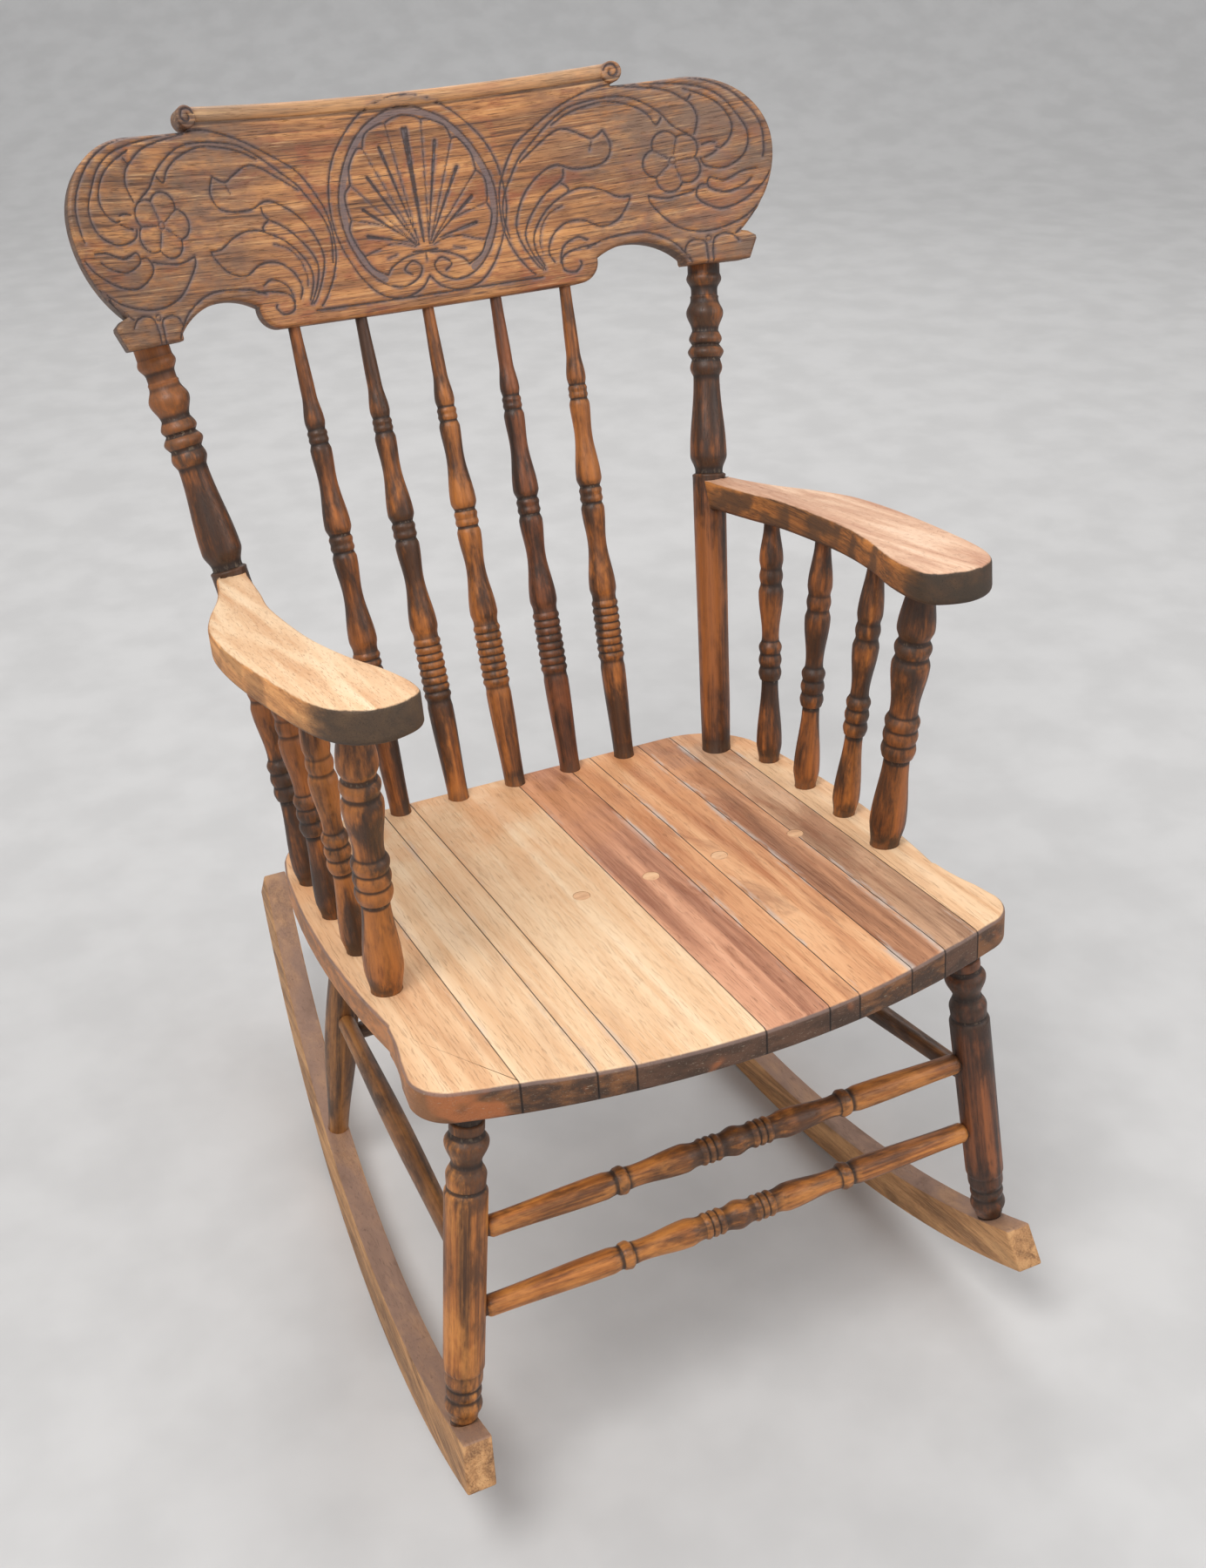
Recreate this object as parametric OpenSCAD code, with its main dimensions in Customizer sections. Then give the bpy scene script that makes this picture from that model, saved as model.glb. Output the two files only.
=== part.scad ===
/* [Seat] */
// Height of the seat's flat rim above the rockers' lowest line, with the seat held level
seat_h = 415; // [390:1:440]
// Thickness of the glued-up seat at its rim
seat_t = 29; // [26:1:34]
// Half width of the seat at its widest, beside the arm spindles
seat_half = 264; // [258:1:272]
// How far the sides are drawn in at the waist behind the front corners
waist_in = 8; // [4:1:12]
// Distance from the spindle line forward to the middle of the front edge
seat_front = 500; // [490:1:510]
// Distance from the spindle line back to the rear edge
seat_back = 16; // [14:1:22]
// Depth of the saddle scooped out of the top, at the front edge
scoop = 5; // [3:0.5:7]
// Gap left where two seat boards meet
seam_gap = 0.2; // [0.1:0.1:0.4]
// Diameter of the wooden plugs in the seat top
plug_d = 15; // [12:0.5:18]
// Depth of the plugs
plug_depth = 8; // [6:0.5:10]

/* [Back] */
// Lean of the back from the seat's upright
back_rake = 13.7; // [12:0.1:15.5]
// Height of the crest rail's lower edge, measured up the back
crest_up = 462; // [440:1:490]
// Radius of the bend of the crest rail's front face
crest_r = 552; // [520:1:600]
// Thickness of the crest rail
crest_t = 22; // [20:0.5:25]
// How far the rail's front face stands before the spindle line in the middle
crest_set = 5; // [3:0.5:8]
// Half width of the crest rail across its rounded ends
crest_half = 324; // [319:1:329]
// Height of the crest rail under its rolled top
crest_h = 177; // [172:1:182]
// Height of the rolled top moulding
roll_h = 14; // [12:0.5:16]
// Half length of the rolled top, to the middle of its end scrolls
roll_half = 200; // [195:1:203]
// Distance between the feet of the back spindles
spindle_pitch = 60; // [56:0.5:64]
// Distance between the tops of the back spindles
spindle_top_pitch = 67; // [64:0.5:70]
// Distance of the post feet from the seat's widest edge
post_foot_in = 57; // [52:1:62]
// How far the post feet stand before the spindle line
post_foot_y = 36; // [32:1:40]
// Distance of the post tops from the ends of the crest rail
post_top_in = 55; // [50:1:60]
// How far the post tops stand before the spindle line, square to the back
post_top_set = 40; // [38:0.5:43]
// Largest diameter of the plain lower part of a post
post_d = 32; // [30:0.5:34]

/* [Arms] */
// Height of the arm's top above the seat rim, at its rear end
arm_rise = 263; // [255:1:272]
// Upward slope of the arms towards the front
arm_slope = 3.8; // [2.5:0.1:5]
// Thickness of the arms
arm_t = 28; // [26:0.5:31]
// How far the middle of an arm's rear end lies outside the middle of its post
arm_rear_out = 2.4; // [0:0.2:5]
// Distance of the arm spindles from the seat's widest edge
arm_spindle_in = 26; // [23:1:30]
// Distance of the first arm spindle before the spindle line
arm_spindle_y = 89; // [84:1:96]
// Distance between the thin arm spindles
arm_spindle_pitch = 70; // [66:1:73]
// Distance of the thick front supports from the seat's widest edge
stump_in = 27; // [24:1:31]
// Distance of the front supports before the spindle line
stump_y = 299; // [292:1:308]
// How far the supports lean forward on their way up
arm_lean = 40; // [32:1:46]
// How far the thin arm spindles lean outward on their way up, twice as far as the supports
arm_splay = 20; // [14:1:24]

/* [Legs and rockers] */
// Radius of the rockers' lower edge
rocker_r = 853; // [820:1:900]
// Depth of the rockers
rocker_depth = 41; // [36:0.5:46]
// Thickness of the rockers
rocker_t = 25; // [24:0.5:30]
// Distance of the rockers' lowest line before the spindle line, with the seat held level
rocker_y = 179; // [165:1:190]
// Angle of the arc from its lowest line to the front tip
rocker_front = 21.8; // [20.5:0.1:24]
// Angle of the arc from its lowest line to the rear tip
rocker_rear = 38.2; // [34:0.1:42]
// Angle at which the two rockers draw together towards the rear
rocker_toe = 4.6; // [3.6:0.1:5.4]
// Sideways lean of the rockers, with the legs
rocker_lean = 6; // [4:0.5:8]
// Distance of the front legs' tops from the seat's widest edge
leg_top_in = 40; // [36:1:46]
// Distance of the front legs under the seat before the spindle line
leg_top_y = 437; // [430:1:442]
// How far the front legs splay outward on their way down
leg_splay = 36; // [30:1:42]
// Distance of the front legs at the rockers before the spindle line
leg_foot_y = 441; // [436:1:448]
// Diameter of the front legs' plain shaft
leg_d = 35; // [32:0.5:38]
// Distance of the rear legs' tops from the seat's widest edge
rear_top_in = 64; // [58:1:70]
// Distance of the rear legs under the seat before the spindle line
rear_top_y = 64; // [58:1:70]
// Distance of the rear legs at the rockers behind the spindle line
rear_foot_y = 22; // [14:1:30]
// Diameter of the rear legs at their middle
rear_leg_d = 33; // [30:0.5:36]

/* [Stretchers] */
// Height of the upper front stretcher
upper_h = 266; // [262:1:272]
// Height of the lower front stretcher
lower_h = 190; // [180:1:200]
// Diameter of the balls in the middle of the front stretchers
stretcher_ball_d = 25; // [23:0.5:28]
// Height of the side stretchers at the front legs
side_front_h = 241; // [238:1:244]
// Height of the side stretchers at the rear legs
side_rear_h = 226; // [222:1:232]
// Height of the rear stretcher
rear_h = 196; // [188:1:200]
// Diameter of the stretchers where they enter the legs
stretcher_end_d = 14; // [12:0.5:15]
// Largest diameter of the plain stretchers
rod_d = 20.5; // [18:0.5:22]

/* [Joints and rest] */
// Clearance round each turned end in its bored socket
fit_gap = 0.2; // [0.1:0.05:0.3]
// Depth of the sockets bored in the seat
seat_socket = 20; // [16:0.5:22]
// Depth of the sockets bored in the crest rail and the arms
top_socket = 16; // [12:0.5:18]
// Diameter of the tenons under the legs
foot_tenon_d = 14; // [12:0.5:15]
// Depth of the leg tenons in the rockers
foot_socket = 22; // [18:0.5:26]
// Shank diameter of the screws that hold the arms and the crest rail
screw_d = 4; // [3.5:0.5:5]
// How far the whole chair leans back when it stands empty
rest_lean = 5.9; // [3:0.1:8]

/* [Hidden] */

left = -1;
right = 1;
turned_facets = 48;
arc_facets = 360;
beyond = 60;

// Colours of the old oiled and sanded wood
brown = [0.45, 0.27, 0.14];
golden = [0.66, 0.43, 0.22];
pale = [0.86, 0.66, 0.46];
rose = [0.70, 0.42, 0.30];
steel = [0.55, 0.55, 0.56];

// Lines between the seat boards, left to right, as shares of the seat's half width
seam_shares = [-0.7348, -0.5189, -0.4053, 0, 0.2197, 0.3295, 0.5341, 0.6742, 0.822];
seams = seam_shares * seat_half;
board_colours = [pale, pale, pale, pale, rose, golden, golden, rose, golden, pale];
plug_x = [-37, 31, 100, 179];
plug_y = 240;

seat_under = seat_h - seat_t;
waist_half = seat_half - waist_in;
post_foot_x = seat_half - post_foot_in;
post_top_x = crest_half - post_top_in;
arm_spindle_x = seat_half - arm_spindle_in;
stump_x = seat_half - stump_in;
leg_top_x = seat_half - leg_top_in;
leg_foot_x = leg_top_x + leg_splay;
rear_top_x = seat_half - rear_top_in;
arm_pivot_y = 14;
arm_under = seat_h + arm_rise - arm_t;
rocker_top_r = rocker_r - rocker_depth;
crest_centre = -crest_set - crest_r;

// A point of the back: across, square to the back, and up the back from the spindle line
function on_back(x, set, up) = [
    x,
    set * cos(back_rake) + up * sin(back_rake),
    seat_h - set * sin(back_rake) + up * cos(back_rake)
];

// Middle of the crest rail's thickness at one distance from its centre
function crest_middle(x) = crest_centre + sqrt(pow(crest_r + crest_t / 2, 2) - x * x);

// Height of the arm's underside above the rockers' lowest line
function arm_under_z(y) = arm_under + (arm_pivot_y - y) * tan(arm_slope);

// Height of the rocker's upper edge at one distance from the spindle line
function rocker_top_z(y) = rocker_r - sqrt(pow(rocker_top_r, 2) - pow(y + rocker_y, 2));

// Point on a straight piece at one height
function at_height(p, q, z) = p + (q - p) * (z - p[2]) / (q[2] - p[2]);

// Distance across the chair of a rocker's middle at one distance from the spindle line
function rocker_x(y) = leg_foot_x + (-leg_foot_y - y) * tan(rocker_toe);

// Radius that eases from one station of a turning to the next
function eased(a, b, t) = a + (b - a) * (1 - cos(180 * t)) / 2;

// Outline of a turning through stations of height and diameter
function turned_outline(stations, steps = 5) = concat(
    [[0, stations[0][0]]],
    [for (i = [0 : len(stations) - 2], k = [0 : steps - 1])
        if (k == 0 || stations[i][1] != stations[i + 1][1])
            [
                eased(stations[i][1], stations[i + 1][1], k / steps) / 2,
                stations[i][0] + (stations[i + 1][0] - stations[i][0]) * k / steps
            ]],
    [[stations[len(stations) - 1][1] / 2, stations[len(stations) - 1][0]]],
    [[0, stations[len(stations) - 1][0]]]
);

// Points of an arc
function arc(x, y, r, from, to, steps = 10) = [
    for (k = [0 : steps]) let (a = from + (to - from) * k / steps) [x + r * cos(a), y + r * sin(a)]
];

// Smooth closed curve through a few chosen points
function curve_point(a, b, c, d, t) =
    ((2 * b) + (c - a) * t + (2 * a - 5 * b + 4 * c - d) * t * t
    + (3 * b - a - 3 * c + d) * t * t * t) / 2;

function closed_curve(points, steps = 6) = [
    for (i = [0 : len(points) - 1], k = [0 : steps - 1])
        let (n = len(points))
            curve_point(points[(i + n - 1) % n], points[i], points[(i + 1) % n],
                points[(i + 2) % n], k / steps)
];

// Stands the chair on its rockers, leaning back, with the origin under the middle of its box
front_tip = -rocker_y - rocker_r * sin(rocker_front + rest_lean);
rear_tip = -rocker_y + rocker_r * sin(rocker_rear - rest_lean);

module standing() {
    translate([0, -(front_tip + rear_tip) / 2, 0])
        translate([0, -rocker_y, rocker_r])
            rotate([-rest_lean, 0, 0])
                translate([0, rocker_y, -rocker_r])
                    children();
}

// Turns a piece drawn upright so that it runs from one point to another
module between(p, q) {
    d = q - p;
    translate(p)
        rotate([-asin(d[1] / norm(d)), atan2(d[0], d[2]), 0])
            children();
}

// Solid of revolution through stations of height and diameter
module turning(stations) {
    rotate_extrude($fn = turned_facets)
        polygon(turned_outline(stations));
}

// Bored socket round one end of a straight piece
module socket(p, q, diameter, depth) {
    between(p, q)
        translate([0, 0, -depth - fit_gap])
            cylinder(d = diameter + 2 * fit_gap, h = depth + fit_gap + beyond / 2, $fn = turned_facets);
}

// Group of small rings on a turning, from one height upward
function rings(start, count, pitch, valley, crown) = [
    for (i = [0 : count - 1], part = [0 : 1])
        [start + (i + part / 2) * pitch, part == 0 ? valley : crown]
];

// How far each thin arm spindle leans forward on its way up; the first leans back, so they fan out
arm_spindle_leans = [-18, 6, 25];

// Places of the upright pieces, for one side where they come in pairs
function spindle_foot(i) = [(i - 3) * spindle_pitch, 0, seat_h];
function spindle_top(i) = let (x = (i - 3) * spindle_top_pitch) on_back(x, crest_middle(x), crest_up);
function post_foot(side) = [side * post_foot_x, -post_foot_y, seat_h];
function post_top(side) = on_back(side * post_top_x, -post_top_set, crest_up);
function arm_foot(side, i) = [side * arm_spindle_x, -arm_spindle_y - (i - 1) * arm_spindle_pitch, seat_h];
function arm_head(side, i) =
    let (foot = arm_foot(side, i), y = foot[1] - arm_spindle_leans[i - 1])
        [foot[0] + side * arm_splay, y, arm_under_z(y)];
function support_foot(side) = [side * stump_x, -stump_y, seat_h];
function support_head(side) =
    let (y = -stump_y - arm_lean) [side * (stump_x + arm_splay / 2), y, arm_under_z(y)];
function leg_top(side) = [side * leg_top_x, -leg_top_y, seat_under];
function leg_foot(side) = [side * leg_foot_x, -leg_foot_y, rocker_top_z(-leg_foot_y)];
function rear_top(side) = [side * rear_top_x, -rear_top_y, seat_under];
function rear_foot(side) = [side * rocker_x(rear_foot_y), rear_foot_y, rocker_top_z(rear_foot_y)];

// Diameters of the turned ends that enter the sockets
spindle_foot_d = 20;
spindle_top_d = 11;
post_foot_d = 28.5;
post_neck_d = 31;
arm_foot_d = 20;
arm_head_d = 15;
support_foot_d = 26;
support_head_d = 24;
leg_head_d = 24;
rear_head_d = 20;
leg_ankle_d = 21;

// Seat

// Half of the seat's outline, from the middle of the front edge to the middle of the rear edge
corner_r = 36;
corner_x = waist_half + 10 - corner_r;
front_r = 770;
corner_y = -seat_front + front_r - sqrt(pow(front_r - corner_r, 2) - pow(corner_x, 2));
corner_turn = atan2(front_r - seat_front - corner_y, corner_x);
rear_r = 78;
side_y = -208;
side_sag = 9.5;
waist_y = -350;
side_run = side_y - waist_y;
side_r = (side_run * side_run / side_sag + side_sag) / 2;
side_turn = asin(side_run / side_r);
waist_r = 200;

seat_half_outline = concat(
    arc(0, front_r - seat_front, front_r, -90, -corner_turn),
    arc(corner_x, corner_y, corner_r, -corner_turn, 0),
    arc(waist_half + waist_r, waist_y, waist_r, 195, 181, 5),
    arc(seat_half - side_r, side_y, side_r, -side_turn, side_turn),
    arc(seat_half - 12 - rear_r, seat_back - rear_r, rear_r, 20, 90),
    [[0, seat_back]]
);

// Closes an outline that is the same left and right from its right half
function both_halves(points) = concat(
    points,
    [for (i = [len(points) - 1 : -1 : 0]) if (points[i][0] > 0.01) [-points[i][0], points[i][1]]]
);

module seat_outline() {
    polygon(both_halves(seat_half_outline));
}

// The saddle is part of a very wide round trough that runs out before the spindles
scoop_half = 190;
scoop_r = (scoop_half * scoop_half / scoop + scoop) / 2;
scoop_end = -70;
scoop_fall = atan2(scoop, seat_front + scoop_end);

module saddle() {
    translate([0, scoop_end, seat_h])
        rotate([90 + scoop_fall, 0, 0])
            translate([0, scoop_r, 0])
                cylinder(r = scoop_r, h = 2 * seat_front, $fn = 4 * arc_facets);
}

module seat_sockets() {
    for (i = [1 : 5])
        socket(spindle_foot(i), spindle_top(i), spindle_foot_d, seat_socket);
    for (side = [left, right]) {
        socket(post_foot(side), post_top(side), post_foot_d, seat_socket);
        for (i = [1 : 3])
            socket(arm_foot(side, i), arm_head(side, i), arm_foot_d, seat_socket);
        socket(support_foot(side), support_head(side), support_foot_d, seat_socket);
        socket(leg_top(side), leg_foot(side), leg_head_d, seat_socket);
        socket(rear_top(side), rear_foot(side), rear_head_d, seat_socket);
    }
}

// Places a plug square to the seat's top, in the saddle or on the flat beside it
plug_fall = scoop * (plug_y + scoop_end) / (seat_front + scoop_end);

module at_plug(x) {
    dip = plug_fall - x * x / (2 * scoop_r);
    in_saddle = dip > 0 ? 1 : 0;
    translate([x, -plug_y, seat_h - in_saddle * dip])
        rotate([in_saddle * scoop_fall, -in_saddle * atan(x / scoop_r), 0])
            children();
}

module seat_board(i) {
    low = i == 1 ? -seat_half - beyond : seams[i - 2] + seam_gap / 2;
    high = i == len(board_colours) ? seat_half + beyond : seams[i - 1] - seam_gap / 2;
    color(board_colours[i - 1])
        difference() {
            intersection() {
                translate([0, 0, seat_under])
                    linear_extrude(seat_t)
                        seat_outline();
                translate([low, -seat_front - beyond, seat_under - beyond])
                    cube([high - low, seat_front + seat_back + 2 * beyond, seat_t + 2 * beyond]);
            }
            saddle();
            seat_sockets();
            for (x = plug_x)
                at_plug(x)
                    translate([0, 0, -plug_depth - fit_gap])
                        cylinder(d = plug_d + 2 * fit_gap, h = plug_depth + beyond, $fn = turned_facets);
        }
}

module seat_plugs() {
    color(pale)
        for (x = plug_x)
            at_plug(x)
                translate([0, 0, -plug_depth])
                    cylinder(d = plug_d, h = plug_depth, $fn = turned_facets);
}

// Back

// Turns what is drawn across and up into the leaning plane of the back
module on_rake() {
    translate([0, 0, seat_h])
        rotate([-back_rake, 0, 0])
            children();
}

// Slice of the bent rail's thickness, with its front face drawn forward by proud
module bent_shell(proud = 0, low = -beyond) {
    translate([0, crest_centre, crest_up + low])
        difference() {
            cylinder(r = crest_r + crest_t, h = crest_h + 2 * beyond, $fn = arc_facets);
            translate([0, 0, -1])
                cylinder(r = crest_r - proud, h = crest_h + 2 * beyond + 2, $fn = arc_facets);
        }
}

// Cuts an outline, drawn with its zero on the crest's lower edge, out of the bent rail
module from_rail(proud = 0) {
    intersection() {
        bent_shell(proud);
        translate([0, beyond, crest_up])
            rotate([90, 0, 0])
                linear_extrude(4 * beyond)
                    children();
    }
}

ear_y = 98;
ear_top_r = 70;
ear_side_r = 100;
ear_start = -48;
shoulder_y = crest_h - 6;
pedestal_half = 26;
pedestal_in = post_top_x - pedestal_half;
pedestal_out = post_top_x + pedestal_half;
arch_x = pedestal_in - 47;
arch_r = 60;
arch_y = 29 - arch_r;
foot_scroll_r = 19;
foot_scroll_x = arch_x - 50;

// Turn of a first circle at which it meets a second one that lies at dx, dy from it
function meeting(dx, dy, r1, r2) =
    let (d = norm([dx, dy]))
        atan2(dy, dx) + acos((r1 * r1 + d * d - r2 * r2) / (2 * r1 * d));

scroll_turn = meeting(arch_x - foot_scroll_x, arch_y - foot_scroll_r, foot_scroll_r, arch_r);
scroll_end = [
    foot_scroll_x + foot_scroll_r * cos(scroll_turn),
    foot_scroll_r + foot_scroll_r * sin(scroll_turn)
];
arch_start = atan2(scroll_end[1] - arch_y, scroll_end[0] - arch_x);
arch_end = acos((pedestal_in - arch_x) / arch_r);

// Right half of the crest rail: scrolled foot, arch, square pedestal over the post, rounded ear
crest_half_outline = concat(
    [[0, 0]],
    arc(foot_scroll_x, foot_scroll_r, foot_scroll_r, -90, scroll_turn, 12),
    arc(arch_x, arch_y, arch_r, arch_start - 2, arch_end, 14),
    [
        [pedestal_in, 0.5], [pedestal_out, -3], [pedestal_out + 8, 16], [pedestal_out + 1, 22]
    ],
    arc(crest_half - ear_side_r, ear_y, ear_side_r, ear_start, 0, 10),
    arc(crest_half - ear_top_r, ear_y, ear_top_r, 5, 90, 16),
    [[roll_half, shoulder_y], [roll_half, crest_h + 1], [0, crest_h + 1]]
);

module crest_outline() {
    polygon(both_halves(crest_half_outline));
}

// The rolled top overhangs the front face a little and ends in small scrolls
roll_proud = 3;
roll_inset = 1;
roll_end_r = 9.5;
roll_end_proud = 4;
roll_end_y = crest_h + roll_h - roll_end_r + 0.8;

module rolled_top() {
    arc_half = asin(roll_half / crest_r);
    front = crest_r - roll_proud + roll_h / 2;
    rear = crest_r + crest_t - roll_inset - roll_h / 2;
    translate([0, crest_centre, crest_up + crest_h])
        rotate([0, 0, 90 - arc_half])
            rotate_extrude(angle = 2 * arc_half, $fn = arc_facets)
                polygon(concat(
                    arc(front, roll_h / 2, roll_h / 2, 90, 270, 10),
                    arc(rear, roll_h / 2, roll_h / 2, -90, 90, 10)
                ));
}

module crest_rail() {
    color(brown)
        difference() {
            on_rake()
                union() {
                    from_rail()
                        crest_outline();
                    rolled_top();
                    from_rail(roll_end_proud)
                        for (side = [left, right])
                            translate([side * roll_half, roll_end_y])
                                circle(r = roll_end_r, $fn = turned_facets);
                }
            for (i = [1 : 5])
                socket(spindle_top(i), spindle_foot(i), spindle_top_d, top_socket);
            for (side = [left, right])
                crest_screw(side, fit_gap);
        }
}

// Stations of a back spindle: plain foot, eight rings, vase, beads and a slender upper part
spindle_run = norm(spindle_top(3) - spindle_foot(3));
spindle_stations = concat(
    [[-seat_socket, spindle_foot_d], [0, spindle_foot_d], [91, 24.5], [98, 23]],
    rings(100, 8, 7.5, 23.5, 26.3),
    [
        [160, 23.5], [163, 23.5], [172, 26.8], [217, 18.5], [250, 23], [256, 19.5], [260, 22.6],
        [264, 21.2], [268, 22.6], [272, 19.5], [280, 25], [324, 17.3], [351, 19.8], [357, 16.4],
        [360.5, 18.6], [363.5, 17.5], [366.5, 18.6], [370, 16], [377, 18.6], [402, 13.5],
        [spindle_run, spindle_top_d], [spindle_run + top_socket, spindle_top_d]
    ]
);

module back_spindle(i) {
    color(i == 1 || i == 4 ? brown : golden)
        between(spindle_foot(i), spindle_top(i))
            turning(spindle_stations);
}

// Stations of a post, measured down from the crest: rings, ball, three beads, vase, plain shaft
post_run = norm(post_top(right) - post_foot(right));
post_lap = 45;
post_lap_start = 9;
post_shoulder = 201;
shoulder_d = post_d + 1;
post_down = [
    [-post_lap, 26], [0, post_neck_d], [post_lap_start, post_neck_d], [14, 34], [24, 25.5],
    [29, 25.5], [31, 27.5], [33, 27], [46, 36], [63, 25.5], [71, 32], [76, 26.5], [83, 35],
    [90, 27.5], [98, 31.5], [106, 25.5], [182, 36], [197, 27], [post_shoulder - 2, 27],
    [post_shoulder, shoulder_d],
    [post_shoulder + 3, post_d + 0.5]
];
post_stations = concat(
    [[-seat_socket, post_foot_d], [0, post_foot_d], [60, post_d - 2]],
    [for (i = [len(post_down) - 1 : -1 : 0]) [post_run - post_down[i][0], post_down[i][1]]]
);

module post(side) {
    color(brown)
        difference() {
            between(post_foot(side), post_top(side))
                turning(post_stations);
            on_rake()
                translate([0, crest_centre, crest_up - post_lap_start])
                    cylinder(r = crest_r + crest_t + fit_gap, h = 2 * beyond, $fn = arc_facets);
            arm_screw(side, fit_gap);
            crest_screw(side, fit_gap);
        }
}

// Arms

// The arm's outline, seen from above, through points along its inner and outer edges
arm_points = [
    [-14, 4], [-9, -70], [-3, -125], [-4, -200], [-8, -250], [-18, -305], [-31, -352],
    [-37, -395], [-31, -418], [-3, -430], [24, -418], [40, -384], [50, -320], [57, -250],
    [59, -195], [56, -155], [45, -115], [29, -72], [19, -35], [13, -5], [6, 8], [-2, 12]
];

arm_rear_x = at_height(post_foot(right), post_top(right), seat_h + arm_rise)[0] + arm_rear_out;

module arm_frame(side) {
    translate([side * arm_rear_x, arm_pivot_y, arm_under])
        mirror([side == left ? 1 : 0, 0, 0])
            rotate([-arm_slope, 0, 0])
                children();
}

// Seat of the arm's end on its post
module post_clear(side) {
    between(post_foot(side), post_top(side))
        cylinder(d = shoulder_d + 2 * fit_gap, h = post_run - post_shoulder + 4, $fn = turned_facets);
}

module arm(side) {
    color(side == left ? pale : golden)
        difference() {
            arm_frame(side)
                linear_extrude(arm_t)
                    polygon(closed_curve(arm_points));
            post_clear(side);
            for (i = [1 : 3])
                socket(arm_head(side, i), arm_foot(side, i), arm_head_d, top_socket);
            socket(support_head(side), support_foot(side), support_head_d, top_socket);
            arm_screw(side, fit_gap);
        }
}

// Stations of a thin arm spindle; its length follows the arm
module arm_spindle(side, i) {
    foot = arm_foot(side, i);
    head = arm_head(side, i);
    run = norm(head - foot);
    color(brown)
        between(foot, head)
            turning(concat(
                [[-seat_socket, arm_foot_d], [0, arm_foot_d], [18, 25], [83, 16.2]],
                rings(84, 3, 13, 19.5, 22.5),
                [
                    [123, 17], [128, 16.5], [171, 24], [180, 20.3], [187, 22.8], [194, 20.3],
                    [203, 23], [run - 4, arm_head_d], [run + top_socket, arm_head_d]
                ]
            ));
}

// Thick turned support under the front of an arm
module arm_support(side) {
    foot = support_foot(side);
    head = support_head(side);
    run = norm(head - foot);
    color(brown)
        between(foot, head)
            turning(concat(
                [[-seat_socket, support_foot_d], [0, support_foot_d], [26, 32.5], [92, 23]],
                rings(94, 3, 14, 28, 31),
                [
                    [136, 25], [142, 24.5], [184, 33.3], [193, 28.5], [201, 32.5], [208, 26.5],
                    [219, 32.5], [run - 4, support_head_d], [run + top_socket, support_head_d]
                ]
            ));
}

// Legs

// Keeps what lies above the rockers' upper edge
module above_rockers() {
    intersection() {
        children();
        translate([-seat_front, -rocker_y, rocker_r])
            rotate([0, 90, 0])
                cylinder(r = rocker_top_r - fit_gap, h = 2 * seat_front, $fn = arc_facets);
    }
}

leg_run = norm(leg_foot(right) - leg_top(right));
rear_run = norm(rear_foot(right) - rear_top(right));

// Stations of a front leg, measured down from the seat
leg_stations = [
    [-seat_socket, leg_head_d], [15, leg_head_d], [17, 28], [23, 28], [25, 26.5], [34, 35.5],
    [53, 24], [56, 26], [64, 32.5], [72, 31.5], [75, 30], [80, leg_d], [leg_run - 58, leg_d - 1],
    [leg_run - 54, 31.5], [leg_run - 45, 31.5], [leg_run - 38, 27.5], [leg_run - 33, 30],
    [leg_run - 28, 27.5], [leg_run - 19, 31.5], [leg_run - 8, 25], [leg_run - 4, leg_ankle_d],
    [leg_run + 14, leg_ankle_d]
];
rear_stations = [
    [-seat_socket, rear_head_d], [0, rear_head_d], [rear_run * 0.6, rear_leg_d],
    [rear_run, leg_ankle_d], [rear_run + 14, leg_ankle_d]
];

module foot_tenon(run, grow = 0) {
    translate([0, 0, run - 4])
        cylinder(d = foot_tenon_d + 2 * grow, h = foot_socket + 4 + grow, $fn = turned_facets);
}

module front_leg(side) {
    color(side == left ? golden : brown)
        difference() {
            union() {
                above_rockers()
                    between(leg_top(side), leg_foot(side))
                        turning(leg_stations);
                between(leg_top(side), leg_foot(side))
                    foot_tenon(leg_run);
            }
            stretcher_socket(front_end(side, upper_h), front_end(-side, upper_h));
            stretcher_socket(front_end(side, lower_h), front_end(-side, lower_h));
            stretcher_socket(front_end(side, side_front_h), rear_end(side, side_rear_h));
        }
}

module rear_leg(side) {
    color(golden)
        difference() {
            union() {
                above_rockers()
                    between(rear_top(side), rear_foot(side))
                        turning(rear_stations);
                between(rear_top(side), rear_foot(side))
                    foot_tenon(rear_run);
            }
            stretcher_socket(rear_end(side, side_rear_h), front_end(side, side_front_h));
            stretcher_socket(rear_end(side, rear_h), rear_end(-side, rear_h));
        }
}

// Stretchers

function front_end(side, z) = at_height(leg_top(side), leg_foot(side), z);
function rear_end(side, z) = at_height(rear_top(side), rear_foot(side), z);

// How far short of the leg's middle a stretcher stops, and the length of its rounded shoulders
stop_short = 3;
shoulder_run = 4;

module stretcher_socket(p, q) {
    between(p, q)
        translate([0, 0, stop_short - fit_gap])
            cylinder(d = stretcher_end_d + 2 * fit_gap, h = leg_d, $fn = turned_facets);
}

// Half of a front stretcher, from its ball outward; the other half is its mirror
function stretcher_half(run) = concat(
    [[0, stretcher_ball_d], [12, stretcher_ball_d - 5]],
    rings(14, 3, 6.5, 20, 23),
    [
        [33.5, 20], [36, 20], [48, 24], [92, 18], [99, 19], [103, 24], [107, 23], [110, 19.5],
        [120, 22], [run - leg_d / 2 - shoulder_run, stretcher_end_d + 4],
        [run - leg_d / 2, stretcher_end_d], [run - stop_short, stretcher_end_d]
    ]
);

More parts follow.
